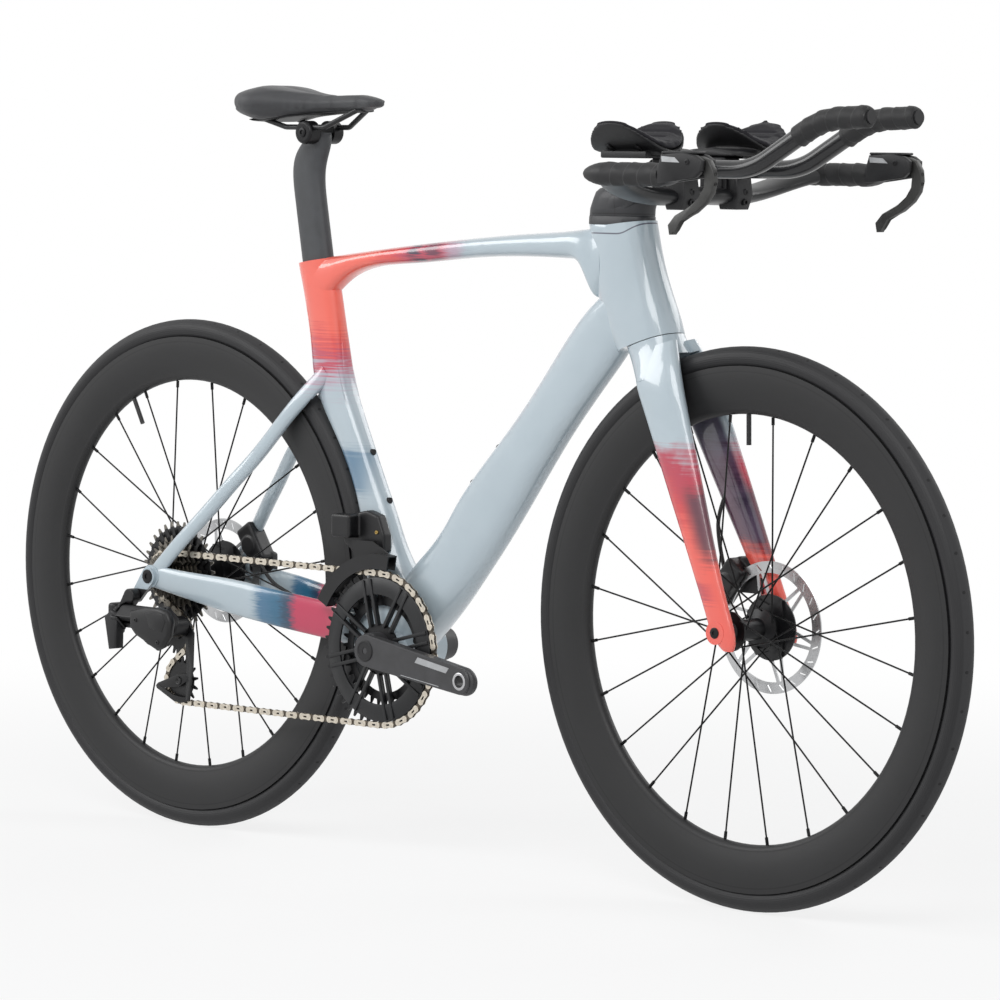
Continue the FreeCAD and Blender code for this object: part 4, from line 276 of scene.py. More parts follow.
def makeFramePaint():
    tone = tones(framePaint)
    made = Finish("framePaint", Coat_Weight=1.0, Coat_Roughness=0.05, Roughness=0.32)
    x, y, z = made.x, made.y, made.z
    across = made.noise(1.0, 4.0, (10, 10, 420))       # brush lines across the upright tube
    along = made.noise(1.0, 4.0, (7, 260, 260))        # brush lines along the level tubes
    cloud = made.noise(26.0, 3.0)
    colour = made.mix(tone["grey"], tone["pale"], cloud)
    # seat tube: grey, mauve, crimson, coral going up
    low, high = framePaint["seatFade"]
    climb = z + (across - 0.5) * 0.090 + (cloud - 0.5) * 0.040
    seatRamp = made.ramp(climb.rise(low, high), [(0.0, tone["mauve"]), (0.30, tone["crimson"]),
                                                 (0.62, tone["red"]), (1.0, tone["coral"])])
    seatShare = climb.rise(low - 0.022, low + 0.030) * x.rise(0.02, -0.04)
    foot, lean, back = (framePaint[name] for name in ("seatFoot", "seatLean", "seatBack"))
    front = x + (z - foot) * lean + back               # ahead of the seat tube's middle
    dark = front.rise(-0.006, 0.010) * climb.band(low - 0.012, low + 0.074, 0.016)
    seatColour = made.mix(seatRamp, tone["navy"], dark * (across * 0.9 + 0.25) * x.rise(-0.10, -0.14))
    colour = made.mix(colour, seatColour, seatShare)
    # top tube: coral, crimson with two navy blots, mauve and back to grey
    rear, fore = framePaint["topFade"]
    run = x + (along - 0.5) * 0.070
    topRamp = made.ramp((run - rear) / (fore - rear), [
        (0.0, tone["coral"]), (0.26, tone["red"]), (0.42, tone["crimson"]), (0.74, tone["crimson"]),
        (0.87, tone["mauve"]), (1.0, tone["grey"])])
    streak = made.noise(1.0, 3.0, (12, 330, 330))
    for (start, end), most in zip(framePaint["blots"], (0.95, 0.75)):
        blot = run.band(start, end, 0.007) * streak.rise(0.34, 0.50)
        topRamp = made.mix(topRamp, tone["navy"], blot * most)
    topShare = z.rise(0.700, 0.716) * x.rise(-0.190, -0.150) * run.rise(fore + 0.012, fore - 0.006)
    colour = made.mix(colour, topRamp, topShare)
    # a streak of blue across the lower seat tube
    low, high = framePaint["bluePatch"]
    step = z + (across - 0.5) * 0.030
    patch = step.band(low, high, 0.010) * x.band(-0.230, -0.140, 0.016) * (1 - x.rise(-0.180, -0.130) * 0.6)
    colour = made.mix(colour, tone["blue"], patch * 0.9)
    # chainstays: grey, teal, crimson pink, grey
    start, end = framePaint["stayFade"]
    hair = made.noise(1.0, 3.0, (9, 520, 520))         # finer lines on the stays
    straight = x + y.rise(-0.02, 0.02) * framePaint["leftShift"]
    drag = straight + (hair - 0.5) * 0.022 + (along - 0.5) * 0.010
    stayRamp = made.ramp((drag - start) / (end - start), [
        (0.0, tone["grey"]), (0.20, tone["blue"]), (0.34, tone["teal"]), (0.45, tone["deepTeal"]),
        (0.56, tone["pink"]), (0.80, tone["pink"]), (1.0, tone["crimson"])])
    stayShare = z.rise(0.352, 0.340) * drag.rise(start, start + 0.030) * \
        straight.rise(end + 0.001, end - 0.003) * y.size().rise(0.018, 0.026)
    colour = made.mix(colour, stayRamp, stayShare)
    # a dark line parts the head tube's cap from the frame
    low, high = framePaint["capLine"]
    rise = x.rise(0.285, 0.345)
    off = (z - (rise * rise * (3 - rise * 2) * (high - low) + low)).size()
    line = off.rise(0.0012, 0.0006) * x.rise(0.240, 0.246)
    made.set("Base Color", made.mix(colour, tone["navy"], line * 0.85))
    made.set("Roughness", cloud * 0.10 + 0.26)
    return made.bump(made.noise(520.0, 2.0), 0.00002)


# fork paint: the same fades run down the blades, darker on their inner and leading sides
forkPaint = {"grey": (178, 193, 202), "pale": (186, 200, 208), "coral": (244, 98, 84), "red": (216, 60, 64),
             "crimson": (184, 46, 74), "navy": (36, 32, 56), "dusk": (80, 70, 92), "fade": (0.530, 0.572),
             "smear": (0.425, 0.508), "spot": (0.374, 0.396), "axisFoot": (0.5005, 0.339),
             "axisLean": -0.4394, "bladeFoot": (0.0555, 0.360), "bladeLean": -0.0813}


def makeForkPaint():
    tone = tones(forkPaint)
    made = Finish("forkPaint", Coat_Weight=1.0, Coat_Roughness=0.05, Roughness=0.32)
    x, y, z = made.x, made.y, made.z
    across = made.noise(1.0, 4.0, (9, 9, 400))
    cloud = made.noise(30.0, 3.0)
    colour = made.mix(tone["grey"], tone["pale"], cloud)
    low, high = forkPaint["fade"]
    drop = z + (across - 0.5) * 0.050 + (cloud - 0.5) * 0.060
    body = made.ramp(drop.rise(0.330, 0.560), [(0.0, tone["coral"]), (0.45, tone["coral"]),
                                               (0.72, tone["red"]), (1.0, tone["crimson"])])
    # how far ahead of the blade's middle, and how far to its inner side
    footX, footZ = forkPaint["axisFoot"]
    ahead = x - ((z - footZ) * forkPaint["axisLean"] + footX)
    footY, startZ = forkPaint["bladeFoot"]
    inner = (z - startZ) * forkPaint["bladeLean"] + footY - y.size()
    start, end = forkPaint["smear"]
    slide = z + (across - 0.5) * 0.040 + (cloud - 0.5) * 0.050
    smear = slide.band(start, end, 0.018) * ahead.rise(-0.010, 0.016)
    inside = inner.rise(0.001, 0.005) * slide.band(start + 0.010, 0.640, 0.020) * ahead.rise(0.030, 0.020)
    spot = slide.band(*forkPaint["spot"], 0.008) * ahead.rise(0.016, -0.012)
    body = made.mix(body, tone["navy"], smear * 0.85)
    body = made.mix(body, tone["crimson"], spot * 0.7)
    painted = made.mix(colour, body, drop.rise(high, low))
    dusk = made.mix(tone["navy"], tone["dusk"], (cloud + across * 0.3).rise(0.45, 0.75))
    made.set("Base Color", made.mix(painted, dusk, inside * 0.92))
    made.set("Roughness", cloud * 0.10 + 0.26)
    return made.bump(made.noise(520.0, 2.0), 0.00002)


# tyre: matte tread band with dimples darkened inside as painted shade, darker sidewalls with fine rings
tyreLook = {"tread": (44, 44, 46), "treadPale": (54, 54, 55), "sidewall": (24, 24, 26),
            "sidewallPale": (32, 32, 34), "dimpleShade": (16, 16, 17), "wheelX": 0.4925, "wheelZ": 0.339,
            "treadHalf": 0.0095, "treadRise": (0.329, 0.333), "dimples": 46, "dimpleSide": 0.0055,
            "dimpleSize": 0.0019, "radius": 0.339, "ringWaves": 2600.0}


def wheelPlace(made):
    sideways = made.x.size() - tyreLook["wheelX"]
    upward = made.z - tyreLook["wheelZ"]
    return distance(sideways, upward), upward.maths("ARCTAN2", sideways)


def makeTyre():
    made, tone = Finish("tyreRubber", Roughness=0.62, Specular_IOR_Level=0.4), tones(tyreLook)
    radius, angle = wheelPlace(made)
    fine, slow = made.noise(1400.0, 2.0), made.noise(40.0, 3.0)
    half = tyreLook["treadHalf"]
    tread = made.y.size().rise(half + 0.0012, half - 0.0012) * radius.rise(*tyreLook["treadRise"])
    turn = angle * (tyreLook["dimples"] / math.tau)
    step = (turn.maths("FRACT") - 0.5) * (math.tau * tyreLook["radius"] / tyreLook["dimples"])
    side, reach = made.y.size() - tyreLook["dimpleSide"], tyreLook["dimpleSize"]
    pit = distance(step, side).rise(reach + 0.0005, reach - 0.0005) * tread
    rings = (radius * tyreLook["ringWaves"]).maths("SINE") * 0.5 + 0.5
    dark = made.mix(tone["sidewall"], tone["sidewallPale"], slow)
    pale = made.mix(tone["tread"], tone["treadPale"], slow * 0.6 + fine * 0.4)
    # painted shade: the dimple pits take a near-black tone as well as being pressed in by the bump
    made.set("Base Color", made.mix(made.mix(dark, pale, tread), tone["dimpleShade"], pit))
    made.set("Roughness", tread * 0.16 + slow * 0.10 + 0.50)
    return made.bump(fine * 0.10 + rings * (1 - tread) * 0.28 - pit * 1.4, 0.00035)


# rim: dull carbon, with a line where the bead hook meets the outer wall
rimLook = {"dark": (28, 28, 29), "pale": (42, 42, 43), "line": (15, 15, 16), "joint": (0.3085, 0.3100)}


def makeRim():
    tone = tones(rimLook)
    made = Finish("rimCarbon", Roughness=0.5, Specular_IOR_Level=0.30, Coat_Weight=0.10, Coat_Roughness=0.35)
    radius, angle = wheelPlace(made)
    sweep = made.noiseAt((radius * 900.0, angle * 3.0, made.y * 60.0), 3.0)
    patch = made.noise(14.0, 3.0)
    colour = made.mix(tone["dark"], tone["pale"], sweep * 0.5 + patch * 0.5)
    joint = radius.band(*rimLook["joint"], 0.0004)
    made.set("Base Color", made.mix(colour, tone["line"], joint * 0.6))
    made.set("Roughness", sweep * 0.14 + patch * 0.08 + 0.40)
    return made.bump(sweep, 0.00002)


# rotor: steel brushed round the axle, black carrier in the middle
rotorLook = {"carrierReach": 0.0405, "steel": (206, 207, 208), "shade": (150, 151, 153),
             "black": (26, 26, 28)}


def makeRotor():
    made, tone = Finish("rotorSteel", Roughness=0.3), tones(rotorLook)
    radius, angle = wheelPlace(made)
    brushed = made.noiseAt((radius * 2600.0, angle * 4.0, 0.0), 2.0)
    steel = radius.rise(rotorLook["carrierReach"], rotorLook["carrierReach"] + 0.0006)
    bright = made.mix(tone["shade"], tone["steel"], brushed * 0.5 + 0.4)
    made.set("Base Color", made.mix(tone["black"], bright, steel))
    made.set("Metallic", steel * 0.9 + 0.05)
    made.set("Roughness", brushed * 0.10 + 0.28 - steel * 0.04)
    return made.bump(brushed, 0.00003)


# drive steel: plated, with oil-darkened patches scattered at random
driveLook = {"oily": (74, 70, 66), "dark": (158, 154, 146), "pale": (216, 212, 204)}


def makeDriveSteel():
    made, tone = Finish("driveSteel", Metallic=1.0, Roughness=0.3), tones(driveLook)
    fine, slow = made.noise(700.0, 2.0), made.noise(90.0, 3.0)
    bright = made.mix(tone["dark"], tone["pale"], (fine * 0.5 + slow * 0.5).rise(0.32, 0.62))
    made.set("Base Color", made.mix(tone["oily"], bright, slow.rise(0.26, 0.44)))
    made.set("Roughness", fine * 0.22 + slow * 0.10 + 0.16)
    return made.bump(fine, 0.00004)


# cassette: steel toned down all over as painted shade for the shaded cog stack, with a black carrier inside
# the biggest cog
cassetteLook = {"carrierReach": 0.0640, "carrierSide": -0.0335, "dark": (70, 67, 63),
                "light": (150, 146, 138), "black": (20, 20, 22)}


def makeCassette():
    made, tone = Finish("cassetteShadedSteel", Metallic=1.0, Roughness=0.34), tones(cassetteLook)
    fine, slow = made.noise(700.0, 2.0), made.noise(120.0, 3.0)
    side, reach = cassetteLook["carrierSide"], cassetteLook["carrierReach"]
    radius = wheelPlace(made)[0]
    carrier = made.y.rise(side - 0.0004, side + 0.0004) * radius.rise(reach + 0.0006, reach - 0.0006)
    # painted shade: both steel tones are kept dark to stand in for the shade among the cogs
    steel = made.mix(tone["dark"], tone["light"], fine * 0.5 + slow * 0.5)
    made.set("Base Color", made.mix(steel, tone["black"], carrier))
    made.set("Metallic", 1 - carrier * 0.8)
    made.set("Roughness", fine * 0.16 + slow * 0.10 + 0.24)
    return made.bump(fine, 0.00004)


# hanger: painted with the frame where it covers the dropout, black below
hangerLook = {"line": 0.3215, "paint": (178, 193, 202), "black": (18, 18, 20)}


def makeHanger():
    tone = tones(hangerLook)
    made = Finish("hangerPaint", Roughness=0.34, Coat_Weight=0.6, Coat_Roughness=0.08)
    slow, fine = made.noise(60.0, 3.0), made.noise(900.0, 2.0)
    high = made.z.rise(hangerLook["line"] - 0.0003, hangerLook["line"] + 0.0003)
    made.set("Base Color", made.mix(tone["black"], tone["paint"], high))
    made.set("Roughness", slow * 0.12 + fine * 0.05 + 0.26)
    return made.bump(fine, 0.00002)


# chainrings: black, with bare steel at the teeth
ringLook = {"middle": (-0.088, 0.272), "bigTeeth": 0.1005, "black": (18, 18, 20), "pale": (28, 28, 30),
            "steel": (188, 186, 180), "latheWaves": 5200.0}


def makeChainrings():
    made, tone = Finish("ringBlack", Roughness=0.4, Specular_IOR_Level=0.30), tones(ringLook)
    radius = distance(made.x - ringLook["middle"][0], made.z - ringLook["middle"][1])
    fine, slow = made.noise(600.0, 2.0), made.noise(50.0, 3.0)
    bare = (radius + fine * 0.0012).rise(ringLook["bigTeeth"], ringLook["bigTeeth"] + 0.0016)
    lathe = (radius * ringLook["latheWaves"]).maths("SINE") * 0.5 + 0.5
    black = made.mix(tone["black"], tone["pale"], slow)
    made.set("Base Color", made.mix(black, tone["steel"], bare))
    made.set("Metallic", bare * 0.95)
    made.set("Roughness", slow * 0.12 + 0.34 - bare * 0.08)
    return made.bump(lathe * 0.2 + fine * 0.5, 0.00004)


# base bar: satin carbon, matte and seamed where it is the stem
barLook = {"carbon": (24, 25, 27), "stem": (42, 43, 46), "stemPale": (50, 51, 54), "seam": (12, 12, 13),
           "fore": 0.342, "half": 0.032, "high": 0.868, "seamRise": 0.8320, "seamPlace": 0.2880,
           "seamHalf": 0.0004}


def makeBar():
    made = Finish("barCarbon", Roughness=0.42, Specular_IOR_Level=0.35, Coat_Weight=0.15, Coat_Roughness=0.2)
    slow, fine = made.noise(50.0, 3.0), made.noise(1600.0, 2.0)
    tone, side = tones(barLook), made.y.size()
    fore, half, high, thin = (barLook[name] for name in ("fore", "half", "high", "seamHalf"))
    foot = made.x.rise(fore + 0.012, fore - 0.012) * side.rise(half + 0.006, half - 0.006)
    level = (made.z - barLook["seamRise"]).size().rise(thin * 1.6, thin)
    upright = (made.x - barLook["seamPlace"]).size().rise(thin * 1.6, thin) * side.rise(0.012, 0.014) * \
        made.z.rise(high, high - 0.004)
    seam = level.maths("MAXIMUM", upright) * foot
    colour = made.mix(tone["carbon"], tone["stem"], foot)
    colour = made.mix(colour, tone["stemPale"], slow * 0.4 * foot)
    made.set("Base Color", made.mix(colour, tone["seam"], seam))
    made.set("Roughness", slow * 0.10 + fine * 0.05 + foot * 0.10 + 0.32)
    return made.bump(fine * 0.4 + slow * 0.3 - seam * 2.0, 0.00006)


# bare unidirectional carbon under lacquer
lacquerLook = {"dark": (12, 12, 14), "pale": (28, 29, 32)}


def makeLacquerCarbon():
    tone = tones(lacquerLook)
    made = Finish("lacquerCarbon", Coat_Weight=0.55, Coat_Roughness=0.05, Roughness=0.46,
                  Specular_IOR_Level=0.25)
    fibre = made.noise(1.0, 3.0, (30, 1500, 1500))
    slow = made.noise(30.0, 2.0)
    made.set("Base Color", made.mix(tone["dark"], tone["pale"], fibre.rise(0.35, 0.7)))
    made.set("Roughness", slow * 0.14 + fibre * 0.08 + 0.30)
    return made.bump(fibre, 0.00003)


# soft coverings: saddle microfibre, knitted pad cloth and perforated tape with painted shade in its holes
leatherLook = {"dark": (46, 47, 49), "pale": (66, 67, 70)}
foamLook = {"dark": (22, 22, 25), "pale": (38, 37, 43), "knitWaves": 5200.0}
tapeLook = {"dark": (28, 28, 29), "pale": (44, 44, 45), "hole": (20, 20, 20), "holeEdge": (0.22, 0.10)}


def makeLeather():
    tone = tones(leatherLook)
    made = Finish("saddleMicrofibre", Roughness=0.6, Sheen_Weight=0.15, Sheen_Roughness=0.5)
    grain, slow = made.cells(1500.0), made.noise(45.0, 3.0)
    fine = made.noise(2600.0, 2.0)
    made.set("Base Color", made.mix(tone["dark"], tone["pale"], slow * 0.6 + fine * 0.4))
    made.set("Roughness", slow * 0.14 + fine * 0.06 + 0.48)
    return made.bump(grain * 0.7 + fine * 0.3, 0.00010)


def makeFoam():
    tone, waves = tones(foamLook), foamLook["knitWaves"]
    made = Finish("padFoamCloth", Roughness=0.85, Specular_IOR_Level=0.25, Sheen_Weight=0.12,
                  Sheen_Roughness=0.5)
    knitX, knitY = (made.x * waves).maths("SINE"), (made.y * waves).maths("SINE")
    slow, fine = made.noise(60.0, 3.0), made.noise(1800.0, 2.0)
    made.set("Base Color", made.mix(tone["dark"], tone["pale"], slow * 0.5 + fine * 0.5))
    made.set("Roughness", slow * 0.12 + 0.74)
    return made.bump(knitX * knitY * 0.5 + fine * 0.5, 0.00012)


def makeTape():
    made, tone = Finish("barTapeBlack", Roughness=0.6, Specular_IOR_Level=0.35), tones(tapeLook)
    pores, slow = made.cells(820.0), made.noise(70.0, 3.0)
    fine = made.noise(1900.0, 2.0)
    # painted shade: the perforations are darkened as well as pressed in by the bump
    holes = pores.rise(*tapeLook["holeEdge"])
    black = made.mix(tone["dark"], tone["pale"], slow * 0.6 + fine * 0.4)
    made.set("Base Color", made.mix(black, tone["hole"], holes * 0.6))
    made.set("Roughness", slow * 0.18 + 0.46)
    return made.bump(fine * 0.4 - holes * 0.8, 0.00014)


looks = {
    "framePaint": makeFramePaint(), "forkPaint": makeForkPaint(), "tyre": makeTyre(), "rim": makeRim(),
    "rotor": makeRotor(), "steel": makeDriveSteel(), "cassette": makeCassette(), "hanger": makeHanger(),
    "rings": makeChainrings(), "lacquer": makeLacquerCarbon(), "bar": makeBar(), "leather": makeLeather(),
    "foam": makeFoam(), "tape": makeTape(),
    "alloy": grained("blackAlloy", (22, 22, 24), 0.38, grain=1300, Metallic=0.4, Specular_IOR_Level=0.4),
    "spoke": grained("spokeBlack", (20, 20, 21), 0.40, Metallic=0.5, Specular_IOR_Level=0.3),
    "crank": grained("crankCharcoal", (56, 56, 58), 0.46, spread=0.10, grain=1700, depth=0.00004),
    "mech": grained("mechBlack", (18, 18, 20), 0.40, grain=1100, depth=0.00005, Specular_IOR_Level=0.4),
    "satin": grained("satinCarbon", (26, 27, 29), 0.42, grain=1500, Coat_Weight=0.2, Coat_Roughness=0.2,
                     Specular_IOR_Level=0.3),
    "post": grained("postCarbon", (58, 60, 63), 0.50, spread=0.08, grain=1800),
    "stem": grained("stemBlack", (42, 43, 46), 0.48, spread=0.10, grain=1800),
    "plastic": grained("mouldedBlack", (24, 24, 26), 0.50, grain=1000, depth=0.00008,
                       Specular_IOR_Level=0.4),
    "lever": grained("leverSatin", (58, 58, 57), 0.42, grain=1500, Metallic=0.3),
    "hose": grained("hoseBlack", (18, 18, 19), 0.40, grain=1600),
    "silver": grained("silverInsert", (196, 196, 198), 0.26, grain=1500, Metallic=1.0),
    "bore": grained("boreDark", (14, 14, 15), 0.60),
    "chainPlate": grained("chainPlate", (208, 200, 186), 0.30, spread=0.08, mottle=300, grain=1800,
                          Metallic=0.9),
    "chainInner": grained("chainInner", (92, 86, 78), 0.36, spread=0.20, mottle=300, grain=1800,
                          Metallic=0.9),
    "brass": grained("screwBrass", (186, 158, 96), 0.30, grain=1500, Metallic=1.0),
    "chip": grained("plainChip", (176, 178, 180), 0.36, spread=0.05, grain=1800, Metallic=0.3),
    "ringFace": grained("ringFaceBlack", (22, 23, 25), 0.44, grain=1300, depth=0.00004,
                        Specular_IOR_Level=0.4),
}
lookMembers = {
    "framePaint": ("front_triangle", "chainstay_left", "chainstay_right", "seatstay_left",
                   "seatstay_right"),
    "forkPaint": ("fork",), "stem": ("headset_cover",), "satin": ("base_bar", "saddle_rails"),
    "post": ("seatpost",), "lacquer": ("extensions",), "tyre": ("front_tyre", "rear_tyre"),
    "rim": ("front_rim", "rear_rim"), "rotor": ("front_rotor", "rear_rotor"),
    "steel": ("chain", "freehub_body", "crank_spindle"), "cassette": ("cassette",),
    "hanger": ("derailleur_hanger",), "rings": ("chainrings",),
    "crank": ("crank_arm_left", "crank_arm_right"), "spoke": ("front_spokes", "rear_spokes"),
    "leather": ("saddle_cover",), "foam": ("arm_pads",), "tape": ("bar_tape",),
    "hose": ("front_brake_hose", "rear_brake_hose"), "lever": ("brake_lever_left", "brake_lever_right"),
    "plastic": ("saddle_base", "lever_bodies", "arm_cups", "shift_button_left", "shift_button_right"),
}
nodeLooks = {node: look for look, members in lookMembers.items() for node in members}
slotLooks = {"mech_black": "mech", "black_alloy": "alloy", "black_plastic": "plastic"}


def dressNodes():
    for name, node in nodes.items():
        look = nodeLooks.get(name) or slotLooks[node.material_slots[0].material.name.split(".")[0]]
        for slot in node.material_slots:
            slot.material = looks[look]


dressNodes()
print("finishes made:", len(looks))


# helpers for new pieces
weld = {"new": 0.000005, "cad": 0.00001}


def meshOf(name, form):
    bmesh.ops.remove_doubles(form, verts=form.verts, dist=weld["new"])
    bmesh.ops.recalc_face_normals(form, faces=form.faces)
    for face in form.faces:
        face.smooth = True
    mesh = bpy.data.meshes.new(name)
    form.to_mesh(mesh)
    form.free()
    return mesh


def addPiece(name, mesh, look, body, slot, *stands):
    piece = bpy.data.objects.new(name, mesh)
    scene.collection.objects.link(piece)
    mesh.materials.append(looks[look])
    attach(piece, body)
    if stands:
        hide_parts(*stands)
    return piece


def addForm(name, form, look, body, slot, *stands, angle=38):
    mesh = meshOf(name, form)
    mesh.set_sharp_from_angle(angle=math.radians(angle))
    return addPiece(name, mesh, look, body, slot, *stands)


def mergedCopy(node):
    form = bmesh.new()
    form.from_mesh(nodes[node].data)
    bmesh.ops.remove_doubles(form, verts=form.verts, dist=weld["cad"])
    return form


def evaluated(piece):
    return bpy.data.meshes.new_from_object(piece.evaluated_get(bpy.context.evaluated_depsgraph_get()))


def applied(mesh, kind, **settings):
    worker = bpy.data.objects.new("worker", mesh)
    scene.collection.objects.link(worker)
    modifier = worker.modifiers.new(kind, kind)
    for name, value in settings.items():
        setattr(modifier, name, value)
    result = evaluated(worker)
    bpy.data.objects.remove(worker)
    return result


def remeshed(name, form, voxel, rounds, change=None):     # change moves the points before they are eased
    mesh = bpy.data.meshes.new(name)
    form.to_mesh(mesh)
    form.free()
    form = bmesh.new()
    form.from_mesh(applied(mesh, "REMESH", mode="VOXEL", voxel_size=voxel))
    for vert in form.verts if change else ():
        change(vert.co)
    for count in range(rounds):
        bmesh.ops.smooth_vert(form, verts=form.verts, factor=0.5, use_axis_x=True, use_axis_y=True,
                              use_axis_z=True)
    return form


# brake hoses: the free stretch from grommet to caliper on one smooth line
hoses = {"radius": 0.0025, "bevels": 5, "fineness": 16, "order": 3, "frontBrakeHose": {
    "points": ((0.4225, 0.0420, 0.5090), (0.4125, 0.0320, 0.4750), (0.4125, 0.0330, 0.4390),
               (0.4185, 0.0380, 0.4050)),
    "body": "front_end", "node": "front_brake_hose", "lay": "taut"}, "rearBrakeHose": {
    "points": ((-0.4205, 0.0470, 0.3630), (-0.4025, 0.0460, 0.3410), (-0.3725, 0.0430, 0.3240),
               (-0.3365, 0.0500, 0.3110)),
    "body": "frame", "node": "rear_brake_hose", "lay": "taut"}}


def addHose(name):
    route = hoses[name]
    curve = bpy.data.curves.new(name, "CURVE")
    curve.dimensions, curve.bevel_depth, curve.bevel_resolution = "3D", hoses["radius"], hoses["bevels"]
    curve.use_fill_caps, curve.resolution_u = True, hoses["fineness"]
    spline = curve.splines.new("NURBS")
    spline.points.add(len(route["points"]) - 1)
    for point, place in zip(spline.points, route["points"]):
        point.co = (*place, 1.0)
    spline.order_u, spline.use_endpoint_u = hoses["order"], True
    hose = bpy.data.objects.new(name, curve)
    scene.collection.objects.link(hose)
    curve.materials.append(looks["hose"])
    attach(hose, route["body"])
    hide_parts(route["node"])
    bare = curve.copy()
    bare.bevel_depth = 0.0
    line = bpy.data.objects.new("hoseLine", bare)
    scene.collection.objects.link(line)
    track = [vert.co.copy() for vert in evaluated(line).vertices]
    bpy.data.objects.remove(line)
    reach = sum((after - before).length for before, after in zip(track, track[1:]))
    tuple(route["points"][0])


for hoseName in ("frontBrakeHose", "rearBrakeHose"):
    addHose(hoseName)
print("hoses laid")


# padded forms swell under cloth pressure from a slightly smaller remeshed shape
def swollen(name, node, pad, change=None):
    form = mergedCopy(node)
    form.normal_update()
    for vert in form.verts:
        vert.co -= vert.normal * pad["inset"]
    form = remeshed(name, form, pad["voxel"], pad["rounds"], change)
    mesh = bpy.data.meshes.new(name)
    form.to_mesh(mesh)
    form.free()
    worker = bpy.data.objects.new("clothWorker", mesh)
    scene.collection.objects.link(worker)
    cloth = worker.modifiers.new("pressure", "CLOTH")
    cloth.settings.use_pressure, cloth.settings.uniform_pressure_force = True, pad["pressure"]
    cloth.settings.effector_weights.gravity = 0.0
    cloth.point_cache.frame_start, cloth.point_cache.frame_end = 1, pad["frames"]
    for count in range(1, pad["frames"] + 1):
        scene.frame_set(count)
    grown = evaluated(worker)
    for vert, after in zip(mesh.vertices, grown.vertices):
        move = after.co - vert.co
        vert.co += move * min(1.0, pad["most"] / max(move.length, 0.000001))
    bpy.data.objects.remove(worker)
    scene.frame_set(1)
    form = bmesh.new()
    form.from_mesh(applied(mesh, "SUBSURF", levels=1, render_levels=1))
    form.normal_update()
    return form


def clipped(value):
    return min(1.0, max(0.0, value))


# saddle cover: swollen microfibre with a stitched edge seam low on its side and a shallow middle channel
saddle = {"inset": 0.0022, "voxel": 0.0045, "rounds": 2, "pressure": 4.0, "frames": 20, "most": 0.004,
          "sink": 0.0024, "seamRise": 0.0060, "seamHalf": 0.0016, "seamDepth": 0.0008, "step": 0.006,
          "near": (-2, -1, 0, 1, 2), "sideFacing": 0.6, "topFacing": 0.5, "channelHalf": 0.0085,
          "channelDepth": 0.0022, "channelEnds": (-0.335, -0.175), "channelSoft": 0.03}


def addSaddleCover():
    form = swollen("saddleCover", "saddle_cover", saddle)
    low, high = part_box("saddle_cover")
    count = int((high[0] - low[0]) / saddle["step"]) + 2
    last, (start, end), soft = count - 1, saddle["channelEnds"], saddle["channelSoft"]
    widest = [(0.0, low[2])] * count
    for vert in form.verts:                    # height of the widest line along the saddle
        place = min(last, max(0, int((vert.co.x - low[0]) / saddle["step"])))
        widest[place] = max(widest[place], (abs(vert.co.y), vert.co.z))
    for vert in form.verts:
        place = min(last, max(0, int((vert.co.x - low[0]) / saddle["step"])))
        near = [widest[min(last, max(0, place + k))][1] for k in saddle["near"]]
        seam = sum(near) / len(near) - saddle["seamRise"]
        off = abs(vert.co.z - seam) / saddle["seamHalf"]
        push = saddle["seamDepth"] * max(0.0, 1.0 - off) if vert.normal.z < saddle["sideFacing"] else 0.0
        along = clipped((vert.co.x - start) / soft) * clipped((end - vert.co.x) / soft)
        if vert.normal.z > saddle["topFacing"]:
            push += saddle["channelDepth"] * along * math.exp(-(vert.co.y / saddle["channelHalf"]) ** 2)
        vert.co -= vert.normal * push
        if vert.normal.z < -saddle["topFacing"]:       # the underside sits down on the base
            vert.co.z -= saddle["sink"]
    piece = addPiece("saddleCover", meshOf("saddleCover", form), "leather", "frame", "soft_black",
                     "saddle_cover")


# arm pads: swollen foam in cloth, oval, with lengthwise ridges
armPad = {"inset": 0.0012, "voxel": 0.0026, "rounds": 11, "pressure": 4.0, "frames": 20, "most": 0.0022,
          "middle": (0.3886, 0.094), "grooves": (-0.027, -0.016, -0.005, 0.005, 0.016, 0.027),
          "half": 0.0017, "depth": 0.0015, "reach": 0.034, "end": 0.006, "topFacing": 0.35,
          "halfLong": 0.0592, "halfWide": 0.050, "narrow": 0.50, "sideRise": 0.024, "lift": 0.0090,
          "foot": 0.9060, "footSoft": 0.004}


def ovalPad(place):
    along, across = place.x - armPad["middle"][0], abs(place.y) - armPad["middle"][1]
    width = max(0.0, 1.0 - (along / armPad["halfLong"]) ** 2) ** 0.5
    free = clipped((place.z - armPad["foot"]) / armPad["footSoft"])
    slim = across * (1.0 - (1.0 - armPad["narrow"]) * (1.0 - width) * free)
    place.z -= free * armPad["sideRise"] * (across ** 2 - slim ** 2) / armPad["halfWide"] ** 2
    place.z += free * armPad["lift"] * width * min(1.0, abs(slim) / armPad["halfWide"])
    place.y = math.copysign(armPad["middle"][1] + slim, place.y)


def addArmPads():
    form = swollen("armPads", "arm_pads", armPad, ovalPad)
    for vert in form.verts:
        across = abs(vert.co.y) - armPad["middle"][1]
        along = abs(vert.co.x - armPad["middle"][0])
        if vert.normal.z > armPad["topFacing"]:
            off = min(abs(across - groove) for groove in armPad["grooves"]) / armPad["half"]
            fade = clipped((armPad["reach"] - along) / armPad["end"])
            vert.co -= vert.normal * (armPad["depth"] * fade * math.exp(-off * off))
    piece = addPiece("armPads", meshOf("armPads", form), "foam", "front_end", "soft_black", "arm_pads")


addSaddleCover()
addArmPads()
print("saddle cover and arm pads padded")

